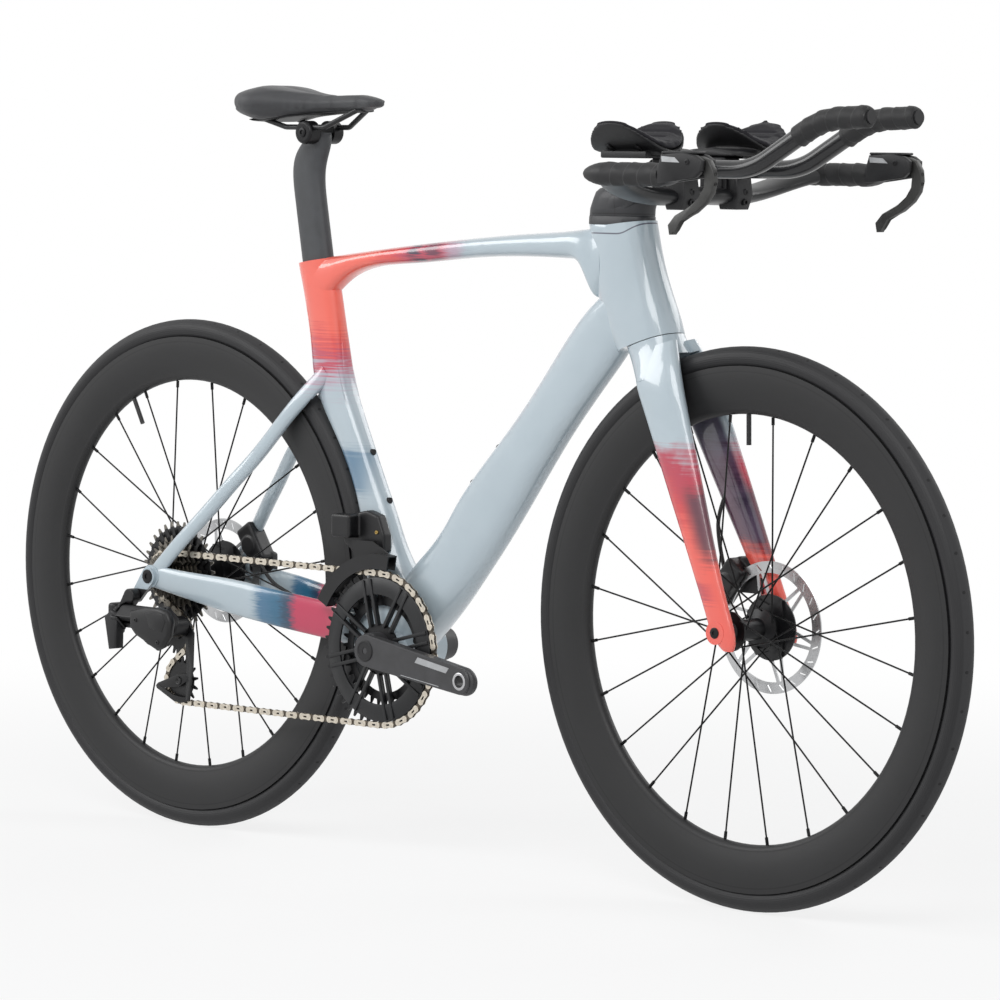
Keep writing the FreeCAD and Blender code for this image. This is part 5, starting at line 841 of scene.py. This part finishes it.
# bar tape: overlapping helical wraps on the grips and the extension tips
tape = {"grip": {"start": 0.4266, "end": 0.5166, "radius": 0.0134, "rise": 0.8818, "side": 0.187,
                 "pitch": 0.0215},
        "tip": {"start": (0.5979, 0.9274), "lean": 29.05, "straight": 0.016, "bend": 0.110, "turn": 26.6,
                "last": 0.0441, "radius": 0.0129, "side": 0.043, "pitch": 0.0195},
        "overlap": 0.0011, "edge": 0.08, "turns": 48, "rows": 110, "wobble": 0.0003, "wobbleTurns": 3,
        "wobbleWaves": 210, "endHole": 0.64, "endFace": 0.9, "endLength": 0.005, "endDrop": 0.0026}


def wrappedTube(form, length, radius, pitch, handed, closeEnd):
    rows = []
    for count in range(tape["rows"] + 1):
        rows.append(form.verts.new((length * count / tape["rows"], 0.0, radius)))
    edges = [form.edges.new(pair) for pair in zip(rows, rows[1:])]
    if closeEnd:
        inner = form.verts.new((length, 0.0, radius * tape["endHole"]))
        edges.append(form.edges.new((rows[-1], inner)))
        rows.append(inner)
    bmesh.ops.spin(form, geom=rows + edges, cent=(0, 0, 0), axis=(1, 0, 0), dvec=(0, 0, 0), angle=math.tau,
                   steps=tape["turns"], use_merge=True, use_duplicate=False)
    tube = set(rows) | {item for item in form.verts if item.tag is False}
    for vert in tube:
        vert.tag = True
        around = math.atan2(vert.co.y, vert.co.z)
        reach = math.hypot(vert.co.y, vert.co.z)
        if reach < radius * tape["endFace"]:
            continue
        wrap = (vert.co.x / pitch + handed * around / math.tau) % 1.0
        lift = tape["overlap"] * (min(1.0, wrap / tape["edge"]) * (1.0 - wrap))
        lift += tape["wobble"] * math.sin(around * tape["wobbleTurns"] + vert.co.x * tape["wobbleWaves"])
        ends = min(1.0, (length - vert.co.x) / tape["endLength"]) if closeEnd else 1.0
        drop = tape["endDrop"] * (1.0 - ends) ** 2
        grow = (reach + lift - drop) / reach
        vert.co.y, vert.co.z = vert.co.y * grow, vert.co.z * grow
    return tube


def bendTip(along):
    tip = tape["tip"]
    lean, x, z = math.radians(tip["lean"]), tip["start"][0], tip["start"][1]
    first = min(along, tip["straight"])
    x, z = x + math.cos(lean) * first, z + math.sin(lean) * first
    arc = min(max(along - tip["straight"], 0.0), math.radians(tip["turn"]) * tip["bend"])
    turned = lean - arc / tip["bend"]
    x += tip["bend"] * (math.sin(lean) - math.sin(turned))
    z += tip["bend"] * (math.cos(turned) - math.cos(lean))
    rest = max(along - tip["straight"] - math.radians(tip["turn"]) * tip["bend"], 0.0)
    return x + math.cos(turned) * rest, z + math.sin(turned) * rest, turned


def addBarTape():
    form = bmesh.new()
    grip, tip = tape["grip"], tape["tip"]
    tipLength = tip["straight"] + math.radians(tip["turn"]) * tip["bend"] + tip["last"]
    for hand in (-1, 1):
        length = grip["end"] - grip["start"]
        for vert in wrappedTube(form, length, grip["radius"], grip["pitch"], hand, False):
            vert.co += Vector((grip["start"], hand * grip["side"], grip["rise"]))
        for vert in wrappedTube(form, tipLength, tip["radius"], tip["pitch"], hand, True):
            x, z, lean = bendTip(vert.co.x)
            high, side = vert.co.z, vert.co.y + hand * tip["side"]
            vert.co = Vector((x - math.sin(lean) * high, side, z + math.cos(lean) * high))
    addPiece("barTape", meshOf("barTape", form), "tape", "front_end", "tape_black", "bar_tape")


addBarTape()
print("bar tape wrapped")


# shapes shared by the fittings: spun profiles, skins over rings of points, raised outlines, rounded castings
def skinned(form, rings, closed=False):
    rows = [[form.verts.new(point) for point in ring] for ring in rings]
    faces = []
    for low, high in list(zip(rows, rows[1:])) + ([(rows[-1], rows[0])] if closed else []):
        for k, vert in enumerate(low):
            after = (k + 1) % len(low)
            faces.append(form.faces.new((vert, low[after], high[after], high[k])))
    if not closed:
        faces += [form.faces.new(rows[0]), form.faces.new(rows[-1])]
    return faces


def turned(form, middle, axis, profile, steps, hexReach=0.0):
    axis, middle = Vector(axis).normalized(), Vector(middle)
    side = axis.orthogonal().normalized()
    cross = axis.cross(side)
    known = set(form.verts)
    line = [form.verts.new(middle + axis * along + side * reach) for along, reach in profile]
    edges = [form.edges.new(pair) for pair in zip(line, line[1:])]
    bmesh.ops.spin(form, geom=line + edges, cent=middle, axis=axis, dvec=(0, 0, 0), angle=math.tau,
                   steps=steps, use_merge=True, use_duplicate=False)
    for vert in set(form.verts) - known:
        out = vert.co - middle
        high = out.dot(axis)
        out -= axis * high
        if hexReach and abs(out.length - hexReach) < hexReach * screwForm["near"]:
            turn = math.atan2(out.dot(cross), out.dot(side)) % (math.pi / 3) - math.pi / 6
            vert.co = middle + axis * high + out * (math.cos(math.pi / 6) / math.cos(turn))


# a screw's parts as shares of its height and radius
screwForm = {"shoulder": 0.7, "edge": 0.86, "floor": 0.2, "steps": 24, "near": 0.02}


def screw(form, middle, axis, radius, height, socket):
    shoulder, floor = height * screwForm["shoulder"], height * screwForm["floor"]
    turned(form, middle, axis, ((-height, radius), (shoulder, radius), (height, radius * screwForm["edge"]),
                                (height, socket), (floor, socket), (floor, 0.0)), screwForm["steps"], socket)


def raised(form, outline, low, high, place, soft=0.0, segments=3):
    faces = skinned(form, [[place(u, v, w) for u, v in outline] for w in (low, high)])
    if soft:
        edges = set(faces[-1].edges) | set(faces[-2].edges)
        bmesh.ops.bevel(form, geom=list(edges), offset=soft, offset_type="OFFSET", affect="EDGES",
                        segments=segments, profile=0.5, material=-1)


def sideView(u, v, w):
    return u, w, v


def rounded(name, node, cast, look, slot, change=None):
    form = remeshed(name, mergedCopy(node), cast["voxel"], cast["rounds"], change)
    addPiece(name, meshOf(name, form), look, bodyOf[node], slot, node)


# chain: pale outer plates with a slot, darker inner plates, rollers and pin heads, set on the CAD links
chainParts = {"pitch": 0.0127, "plane": -0.0475, "reach": 0.0043, "waist": 0.0033, "slotReach": 0.0011,
              "slotHalf": 0.0021, "outer": (0.0017, 0.0025), "inner": (0.0009, 0.0016), "roller": 0.0038,
              "pin": 0.0018, "pinTip": 0.8, "pinEnd": 0.0027, "arc": 115, "steps": 9, "round": 14}


def linkIslands():
    form = mergedCopy("chain")
    left, islands = set(form.verts), []
    while left:
        edge = [left.pop()]
        island = list(edge)
        while edge:
            vert = edge.pop()
            for joint in vert.link_edges:
                other = joint.other_vert(vert)
                if other in left:
                    left.remove(other)
                    edge.append(other)
                    island.append(other)
        low = Vector([min(vert.co[k] for vert in island) for k in range(3)])
        high = Vector([max(vert.co[k] for vert in island) for k in range(3)])
        islands.append((low + high) / 2)
    form.free()
    return islands


def linkOrder(islands):
    order, rest = [islands[0]], list(islands[1:])
    while rest:
        nearest = min(rest, key=lambda item: (item - order[-1]).length)
        rest.remove(nearest)
        order.append(nearest)
    return order


def linkLoops():
    part, half = chainParts, chainParts["pitch"] / 2
    outer, slot = [], []
    for end in (1, -1):
        for k in range(part["steps"] + 1):
            share = 2 * k / part["steps"] - 1
            turn, flat = math.radians(part["arc"]) * share, math.pi / 2 * share
            outer.append((end * (half + part["reach"] * math.cos(turn)),
                          end * part["reach"] * math.sin(turn)))
            slot.append((end * (part["slotHalf"] + part["slotReach"] * math.cos(flat)),
                         end * part["slotReach"] * math.sin(flat)))
        outer.append((0.0, end * part["waist"]))
        slot.append((0.0, end * part["slotReach"]))
    return outer, slot


def addChain():
    part = chainParts
    order = linkOrder(linkIslands())
    count = len(order)
    ways = [(order[(k + 1) % count] - order[k - 1]).normalized() for k in range(count)]
    step, pins = part["pitch"] / 2, []
    for k in range(count):
        after = (k + 1) % count
        pins.append((order[k] + ways[k] * step + order[after] - ways[after] * step) / 2)
    outer, slot = linkLoops()
    turns = [math.tau * k / part["round"] for k in range(part["round"])]
    circle = [(math.cos(turn), math.sin(turn)) for turn in turns]
    form = bmesh.new()
    for k in range(count):
        back, fore = pins[k - 1], pins[k]
        way = (fore - back).normalized()
        across = Vector((-way.z, 0, way.x))
        middle = (back + fore) / 2
        middle.y = part["plane"]

        def loop(points, high):
            return [middle + way * u + across * v + Vector((0, high, 0)) for u, v in points]

        def disc(pin, reach, high):
            return [Vector((pin.x + u * reach, part["plane"] + high, pin.z + v * reach)) for u, v in circle]

        for hand in (-1, 1):
            if k % 2 == 0:
                low, high = (hand * value for value in part["outer"])
                skinned(form, [loop(outer, low), loop(outer, high), loop(slot, high), loop(slot, low)], True)
                for pin in (back, fore):
                    tip = disc(pin, part["pin"] * part["pinTip"], hand * part["pinEnd"])
                    skinned(form, [disc(pin, part["pin"], low), tip])
            else:
                low, high = (hand * value for value in part["inner"])
                for face in skinned(form, [loop(outer, low), loop(outer, high)]):
                    face.material_index = 1
        if k % 2:
            half = part["inner"][0]
            for pin in (back, fore):
                for face in skinned(form, [disc(pin, part["roller"], high) for high in (-half, half)]):
                    face.material_index = 1
    piece = addForm("chainLinks", form, "chainPlate", bodyOf["chain"], "drive_steel", "chain")
    piece.data.materials.append(looks["chainInner"])
    print("chain links set:", count)


addChain()


# chainring face: a broad dished band and raised pairs of ribs in front of the toothed ring
ringFace = {"middle": (-0.088, 0.0, 0.272), "pairs": 8, "drop": 8.5, "ribSide": 0.0064, "ribHalf": 0.0023,
            "ribReach": (0.030, 0.0905), "ribFace": (0.0489, 0.0531), "soft": 0.0009, "steps": 96, "band": (
                (0.0489, 0.0922), (0.0502, 0.0922), (0.0509, 0.0914), (0.0521, 0.0728), (0.0516, 0.0704),
                (0.0489, 0.0704), (0.0489, 0.0922))}


def outwards(turn):                  # unit vectors outwards and onwards at a turn about the crank's axle
    return Vector((math.cos(turn), 0, math.sin(turn))), Vector((-math.sin(turn), 0, math.cos(turn)))


def addRingFace():
    form = bmesh.new()
    middle = Vector(ringFace["middle"])
    turned(form, middle, (0, -1, 0), ringFace["band"], ringFace["steps"])
    start, end = ringFace["ribReach"]
    for k in range(ringFace["pairs"]):
        out, beside = outwards(math.radians(360 * (k + 0.5) / ringFace["pairs"] - ringFace["drop"]))
        for hand in (-1, 1):
            low, high = (hand * ringFace["ribSide"] + edge * ringFace["ribHalf"] for edge in (-1, 1))
            raised(form, ((start, low), (end, low), (end, high), (start, high)), *ringFace["ribFace"],
                   lambda u, v, w: middle + out * u + beside * v - Vector((0, w, 0)), ringFace["soft"], 2)
    addForm("ringFace", form, "ringFace", "crankset", "black_alloy")


# crank faces: a tapered plank round the pedal eye, a cap, a bright insert, a pale strip along the lower edge
# that is a painted highlight, and a plain chip
crankFace = {"middle": (-0.088, 0.0, 0.272), "length": 0.170, "drop": 8.5, "hubReach": 0.0204,
             "eyeReach": 0.0168, "hubStart": 91.0, "eyeStart": -89.0, "sweep": 178.0, "soft": 0.0014,
             "low": 0.0610, "high": 0.0748, "hole": 0.0110, "steps": 20, "round": 40, "hexReach": 0.0045,
             "raise": 0.0003,
             "cap": ((0.0745, 0.0138), (0.0756, 0.0138), (0.0760, 0.0132), (0.0760, 0.0116),
                     (0.0754, 0.0110), (0.0754, 0.0045), (0.0735, 0.0045), (0.0735, 0.0)),
             "insert": ((0.0600, 0.0110), (0.0752, 0.0110), (0.0755, 0.0105), (0.0752, 0.0078),
                        (0.0735, 0.0072), (0.0600, 0.0072), (0.0600, 0.0110)),
             # the pale strip along the crank's lower edge is a painted highlight
             "line": ((0.068, -0.0160), (0.136, -0.0146), (0.136, -0.0138), (0.068, -0.0152)),
             "chip": ((0.094, 0.0135), (0.150, 0.0126), (0.146, 0.0050), (0.090, 0.0056)),
             "slots": {"crank": "crank_charcoal", "plastic": "black_plastic", "silver": "spoke_steel",
                       "chip": "crank_charcoal"}}


def crankLoop(inset):
    steps, points = crankFace["steps"], []
    for along, end in ((0.0, "hub"), (crankFace["length"], "eye")):
        reach, start = crankFace[end + "Reach"], crankFace[end + "Start"]
        for k in range(steps + 1):
            turn = math.radians(start + crankFace["sweep"] * k / steps)
            points.append((along + (reach - inset) * math.cos(turn), (reach - inset) * math.sin(turn)))
    return points


def addCrankFaces():
    forms = {look: bmesh.new() for look in crankFace["slots"]}
    middle = Vector(crankFace["middle"])
    for hand, heading in ((-1, -crankFace["drop"]), (1, 180 - crankFace["drop"])):
        way, up = outwards(math.radians(heading))
        up, out = up * -hand, Vector((0, hand, 0))

        def place(u, v, w):
            return middle + way * u + up * v + out * w

        outline, inner = crankLoop(0.0), crankLoop(crankFace["soft"])
        hole = []
        for u, v in outline:
            aim = Vector((u - crankFace["length"], v)).normalized() * crankFace["hole"]
            hole.append((crankFace["length"] + aim.x, aim.y))
        low, high = crankFace["low"], crankFace["high"]
        edge = high - crankFace["soft"]
        levels = ((outline, low), (outline, edge), (inner, high), (hole, high), (hole, low))
        skinned(forms["crank"], [[place(u, v, w) for u, v in loop] for loop, w in levels], True)
        turned(forms["plastic"], middle, out, crankFace["cap"], crankFace["round"], crankFace["hexReach"])
        turned(forms["silver"], middle + way * crankFace["length"], out, crankFace["insert"],
               crankFace["round"])
        # the line is a painted highlight on the lower edge; the chip is a plain plate
        for name in ("line", "chip"):
            lift = crankFace["raise"]
            raised(forms["chip"], crankFace[name], high - lift, high + lift, place)
    for look, slot in crankFace["slots"].items():
        addForm("crank" + look.capitalize(), forms[look], look, "crankset", slot)


addRingFace()
addCrankFaces()
print("crank and ring faces made")

# derailleurs: cast bodies with rounded corners, a motor cover, a battery and their screws
casts = {"voxel": 0.0011, "rounds": 5, "pieces": {
    "mechKnuckleRear": "rd_b_knuckle", "mechLinkOuter": "rd_outer_link", "mechLinkInner": "rd_inner_link",
    "mechKnuckleFront": "rd_p_knuckle", "changerBody": "front_derailleur_body",
    "frontCaliper": "front_brake_caliper", "rearCaliper": "rear_brake_caliper"}}
motor = {"outline": ((-0.490, 0.296), (-0.458, 0.3015), (-0.435, 0.3042), (-0.417, 0.3000),
                     (-0.4095, 0.2860), (-0.4130, 0.2670), (-0.4245, 0.2520), (-0.4370, 0.2465),
                     (-0.4530, 0.2545), (-0.4790, 0.2640), (-0.4900, 0.2740)), "low": -0.1060,
         "high": -0.1180, "soft": 0.0050, "panel": ((-0.4570, 0.2945), (-0.4250, 0.2965), (-0.4180, 0.2860),
                                                    (-0.4250, 0.2720), (-0.4490, 0.2760)),
         "panelLow": 0.0005, "panelHigh": 0.0006, "panelSoft": 0.0005,
         "screws": ((-0.477, 0.2845), (-0.4335, 0.2580)), "screw": (0.0030, 0.0012, 0.0014)}
battery = {"outline": ((-0.5510, 0.2830), (-0.5380, 0.2930), (-0.5260, 0.2880), (-0.5275, 0.2420),
                       (-0.5420, 0.2400)), "low": -0.1085, "high": -0.0930, "soft": 0.0028}
changer = {"screws": ((-0.112, 0.419), (-0.129, 0.394)), "from": -0.090, "screw": (0.0026, 0.0018, 0.0012)}


def faceAt(node, start, way):
    form = mergedCopy(node)
    place = BVHTree.FromBMesh(form).ray_cast(Vector(start), Vector(way))[0]
    form.free()
    return place


def addDerailleurs():
    for name, node in casts["pieces"].items():
        rounded(name, node, casts, "mech", "mech_black")
    form, high = bmesh.new(), motor["high"]
    raised(form, motor["outline"], motor["low"], high, sideView, motor["soft"], 4)
    raised(form, motor["panel"], high + motor["panelLow"], high - motor["panelHigh"], sideView,
           motor["panelSoft"], 2)
    for x, z in motor["screws"]:
        screw(form, (x, high, z), (0, -1, 0), *motor["screw"])
    addForm("mechMotorCover", form, "mech", "mech_knuckle", "mech_black", angle=50)
    form = bmesh.new()
    raised(form, battery["outline"], battery["low"], battery["high"], sideView, battery["soft"], 3)
    addForm("mechBattery", form, "plastic", "frame", "black_plastic", angle=50)
    form = bmesh.new()
    for x, z in changer["screws"]:
        spot = faceAt("front_derailleur_body", (x, changer["from"], z), (0, 1, 0))
        screw(form, spot, (0, -1, 0), *changer["screw"])
    addForm("changerScrews", form, "brass", "frame", "drive_steel")


addDerailleurs()
print("derailleurs and calipers cast")

# cockpit: hood cheeks with a flat top, angular levers and bullet grip ends
hood = {"side": 0.187, "cheek": (0.0053, 0.0136), "soft": 0.0024, "outline": (
            (0.5170, 0.8715), (0.5180, 0.8930), (0.5225, 0.9060), (0.5560, 0.9082), (0.5760, 0.9048),
            (0.5855, 0.8990), (0.5850, 0.8870), (0.5750, 0.8790), (0.5470, 0.8755)),
        "top": ((0.5235, -0.0128), (0.5720, -0.0112), (0.5720, 0.0112), (0.5235, 0.0128)),
        "topRise": (0.9062, 0.9092), "topSoft": 0.0012, "chipRaise": 0.0003,
        "chip": ((0.5240, 0.9035), (0.5450, 0.9022), (0.5525, 0.8962), (0.5250, 0.8970)),
        "pivot": (0.5640, 0.8969), "pivotScrew": (0.0036, 0.0008, 0.0018)}
lever = {"half": 0.0043, "soft": 0.0014, "outline": (
             (0.5600, 0.9020), (0.5750, 0.9040), (0.5880, 0.8998), (0.5955, 0.8880), (0.5968, 0.8750),
             (0.5935, 0.8620), (0.5840, 0.8500), (0.5680, 0.8385), (0.5440, 0.8290), (0.5365, 0.8185),
             (0.5340, 0.8130), (0.5285, 0.8128), (0.5262, 0.8240), (0.5370, 0.8352), (0.5620, 0.8468),
             (0.5750, 0.8550), (0.5832, 0.8670), (0.5845, 0.8800), (0.5790, 0.8900), (0.5600, 0.8900)),
         "slots": ((0.5962, 0.8835), (0.5966, 0.8720)), "slotRound": 20, "slotProfile": (
             (-0.0010, 0.0022), (0.0003, 0.0022), (0.0003, 0.00132), (-0.0006, 0.0011), (-0.0006, 0.0))}
plugs = {"place": (0.4286, 0.187, 0.8818), "round": 40, "profile": (
             (0.0, 0.0137), (-0.004, 0.0139), (-0.012, 0.0133), (-0.020, 0.0118), (-0.028, 0.0094),
             (-0.034, 0.0066), (-0.0375, 0.0035), (-0.0385, 0.0))}


def addHoods():
    shells, chips, pivots = bmesh.new(), bmesh.new(), bmesh.new()
    x, z = hood["pivot"]
    for side in (-hood["side"], hood["side"]):
        for hand in (-1, 1):
            low, high = (side + hand * value for value in hood["cheek"])
            lift = hand * hood["chipRaise"]
            raised(shells, hood["outline"], low, high, sideView, hood["soft"], 3)
            raised(chips, hood["chip"], high - lift, high + lift, sideView)
            screw(pivots, (x, high, z), (0, hand, 0), *hood["pivotScrew"])
        raised(shells, hood["top"], *hood["topRise"], lambda u, v, w: (u, side + v, w), hood["topSoft"], 2)
    addForm("hoodShells", shells, "plastic", "front_end", "black_plastic", angle=45)
    addForm("hoodChips", chips, "chip", "front_end", "black_alloy")
    addForm("hoodPivots", pivots, "alloy", "front_end", "black_alloy")


def addLevers():
    for hand, name in ((-1, "right"), (1, "left")):
        side, body, end = hand * hood["side"], "lever_" + name, name.capitalize()
        form, half = bmesh.new(), lever["half"]
        raised(form, lever["outline"], side - half, side + half, sideView, lever["soft"], 3)
        addForm("brakeLever" + end, form, "lever", body, "black_alloy", "brake_lever_" + name, angle=45)
        form = bmesh.new()
        for x, z in lever["slots"]:
            turned(form, (x, side, z), (1, 0, 0), lever["slotProfile"], lever["slotRound"])
        addForm("leverSlots" + end, form, "bore", body, "black_alloy")


def addGripPlugs():
    form = bmesh.new()
    x, y, z = plugs["place"]
    for side in (-y, y):
        turned(form, (x, side, z), (1, 0, 0), plugs["profile"], plugs["round"])
    addForm("gripPlugs", form, "plastic", "front_end", "black_plastic")


# cups follow the pads' oval; slanted ribs and a stepped block join them to the risers
cups = {"voxel": 0.0016, "rounds": 3,
        "ribs": ((0.366, 0.072), (0.366, 0.098), (0.410, 0.072), (0.410, 0.098)),
        "ribProfile": ((0.0, 0.9060), (0.010, 0.9060), (0.024, 0.9150), (0.018, 0.9150)), "ribHalf": 0.0020,
        "ribSoft": 0.0006, "block": ((0.352, 0.056), (0.424, 0.056), (0.424, 0.118), (0.352, 0.118)),
        "blockRise": (0.9000, 0.9085), "soft": 0.0016}


def addCups():
    rounded("armCups", "arm_cups", cups, "plastic", "black_plastic", ovalPad)
    form, half = bmesh.new(), cups["ribHalf"]
    for hand in (-1, 1):
        raised(form, cups["block"], *cups["blockRise"], lambda u, v, w: (u, hand * v, w), cups["soft"], 2)
        for x, y in cups["ribs"]:
            outline = [(y + out, rise) for out, rise in cups["ribProfile"]]
            raised(form, outline, x - half, x + half, lambda u, v, w: (w, hand * u, v), cups["ribSoft"], 2)
    addForm("cupBlocks", form, "plastic", "front_end", "black_plastic", angle=45)


# stem: a facetted block flows into the base bar; a low cover stands between it and the frame
stem = {"voxel": 0.0017, "rounds": 4, "rear": 0.2266, "fore": 0.3300, "drawn": 0.036, "half": 0.034,
        "high": 0.875, "pivot": 0.279, "reach": 0.078, "floor": 0.8308,
        "block": ((0.8290, 0.2335, 0.3250, 0.0226), (0.8294, 0.2330, 0.3255, 0.0230),
                  (0.8380, 0.2340, 0.3260, 0.0230), (0.8500, 0.2390, 0.3300, 0.0228),
                  (0.8580, 0.2425, 0.3340, 0.0215), (0.8625, 0.2480, 0.3340, 0.0185),
                  (0.8645, 0.2560, 0.3300, 0.0130)),
        "cover": ((0.8185, 0.2325, 0.3255, 0.0228), (0.8190, 0.2320, 0.3260, 0.0234),
                  (0.8280, 0.2325, 0.3260, 0.0234), (0.8290, 0.2330, 0.3255, 0.0228)),
        "cap": ((0.8000, 0.2440, 0.3200, 0.0200), (0.8100, 0.2350, 0.3240, 0.0230),
                (0.8175, 0.2325, 0.3255, 0.0234), (0.8185, 0.2330, 0.3250, 0.0228)), "power": 0.72,
        "steps": 56}


def drawStem(place):
    if abs(place.y) < stem["half"] and place.z < stem["high"] and place.x < stem["fore"]:
        place.x += stem["drawn"] * (stem["fore"] - place.x) / (stem["fore"] - stem["rear"])
    if (place.x - stem["pivot"]) ** 2 + place.y ** 2 < stem["reach"] ** 2:      # swings clear of the cover
        place.z = max(place.z, stem["floor"])


def stemRing(height, rear, fore, half):
    ring = []
    for count in range(stem["steps"]):
        turn = math.tau * count / stem["steps"]
        along, across = (math.copysign(abs(part) ** stem["power"], part) for part in
                         (math.cos(turn), math.sin(turn)))
        ring.append(((rear + fore) / 2 + (fore - rear) / 2 * along, half * across, height))
    return ring


def addStem():
    rounded("barBody", "base_bar", stem, "bar", "bar_carbon", drawStem)
    for name, body, look, slot, stands in (("block", "front_end", "bar", "bar_carbon", ()),
                                           ("cover", "frame", "stem", "black_plastic", ("headset_cover",)),
                                           ("cap", "frame", "framePaint", "frame_paint", ())):
        form = bmesh.new()
        skinned(form, [stemRing(*level) for level in stem[name]])
        addForm("stem" + name.capitalize(), form, look, body, slot, *stands, angle=50)


# angular clamps hold the risers on the bar
clamps = {"sides": (0.034, 0.062), "soft": 0.0030, "boltFace": 0.4350, "boltRises": (0.8600, 0.8480),
          "bolt": (0.0042, 0.0022, 0.0022), "foot": ((0.3990, 0.8560), (0.4030, 0.8820), (0.4330, 0.8820),
                                                     (0.4370, 0.8560), (0.4300, 0.8390), (0.4060, 0.8390))}


def addClamps():
    form, bolts = bmesh.new(), bmesh.new()
    for hand in (-1, 1):
        near, far = (hand * value for value in clamps["sides"])
        raised(form, clamps["foot"], near, far, sideView, clamps["soft"], 3)
        for rise in clamps["boltRises"]:
            screw(bolts, (clamps["boltFace"], (near + far) / 2, rise), (1, 0, 0), *clamps["bolt"])
    addForm("riserClamps", form, "plastic", "front_end", "black_plastic", angle=45)
    addForm("riserBolts", bolts, "alloy", "front_end", "black_alloy")


addHoods()
addLevers()
addGripPlugs()
addCups()
addStem()
addClamps()
print("cockpit fitted")

# small screws and collars: axle ends, saddle clamp, hose grommets; a screw has a place, a side and a size
fixings = {"axles": {"frame": (((-0.4925, -0.0830, 0.339), -1, (0.0092, 0.0016, 0.0042)),
                               ((-0.4925, 0.0780, 0.339), 1, (0.0080, 0.0014, 0.0036))),
                     "front_end": (((0.4925, -0.0620, 0.339), -1, (0.0066, 0.0012, 0.0030)),
                                   ((0.4925, 0.0620, 0.339), 1, (0.0066, 0.0012, 0.0030)))},
           "clamp": {"frame": (((-0.2550, -0.0310, 0.9273), -1, (0.0062, 0.0016, 0.0030)),
                               ((-0.2550, 0.0310, 0.9273), 1, (0.0062, 0.0016, 0.0030)))},
           "grommet": ((-0.003, 0.0026), (-0.003, 0.0050), (0.0010, 0.0050), (0.0022, 0.0040),
                       (0.0022, 0.0026)), "grommetPlace": 0.22, "grommetRound": 28}


def addFixings():
    for name in ("axles", "clamp"):
        for body, screws in fixings[name].items():
            form = bmesh.new()
            for place, hand, size in screws:
                screw(form, place, (0, hand, 0), *size)
            addForm(name + "Screws" + body.title().replace("_", ""), form, "alloy", body, "black_alloy")
    for name in ("frontBrakeHose", "rearBrakeHose"):
        form = bmesh.new()
        start, after = (Vector(point) for point in hoses[name]["points"][:2])
        way = after - start
        turned(form, start + way * fixings["grommetPlace"], way, fixings["grommet"], fixings["grommetRound"])
        addForm(name + "Grommet", form, "hose", hoses[name]["body"], "hose_black")


addFixings()
print("screws and collars set")

# derailleur cage: a slim front arm, a pointed foot and a spoke leave the lower wheel in view
cage = {"outer": (-0.0519, -0.0540), "step": 0.0002, "cut": -0.0515, "soft": 0.0005, "arm": (
            (-0.4640, 0.2860), (-0.4460, 0.2860), (-0.4330, 0.2660), (-0.4350, 0.2200), (-0.4410, 0.1770),
            (-0.4490, 0.1750), (-0.4470, 0.2200), (-0.4490, 0.2560), (-0.4640, 0.2620)), "foot": (
            (-0.4410, 0.1800), (-0.4420, 0.1750), (-0.4580, 0.1712), (-0.4720, 0.1722), (-0.5060, 0.1870),
            (-0.5080, 0.1905), (-0.5050, 0.1935), (-0.4740, 0.1805), (-0.4580, 0.1785)), "spoke": (
            (-0.5070, 0.1885), (-0.5040, 0.1945), (-0.4640, 0.2090), (-0.4450, 0.2110), (-0.4440, 0.2030),
            (-0.4620, 0.1925), (-0.5010, 0.1870)), "axle": (-0.4630, -0.0538, 0.2004),
        "axleScrew": (0.0058, 0.0018, 0.0026)}


def addCage():
    form = mergedCopy("rd_cage")
    outer = [face for face in form.faces if face.calc_center_median().y < cage["cut"]]
    bmesh.ops.delete(form, geom=outer, context="FACES")
    bmesh.ops.holes_fill(form, edges=[edge for edge in form.edges if edge.is_boundary], sides=0)
    for count, name in enumerate(("arm", "foot", "spoke")):
        low, high = (value + count * cage["step"] for value in cage["outer"])
        raised(form, cage[name], low, high, sideView, cage["soft"], 2)
    screw(form, cage["axle"], (0, -1, 0), *cage["axleScrew"])
    addForm("mechCage", form, "mech", "mech_cage", "mech_black", "rd_cage", angle=40)


addCage()
print("derailleur cage opened")
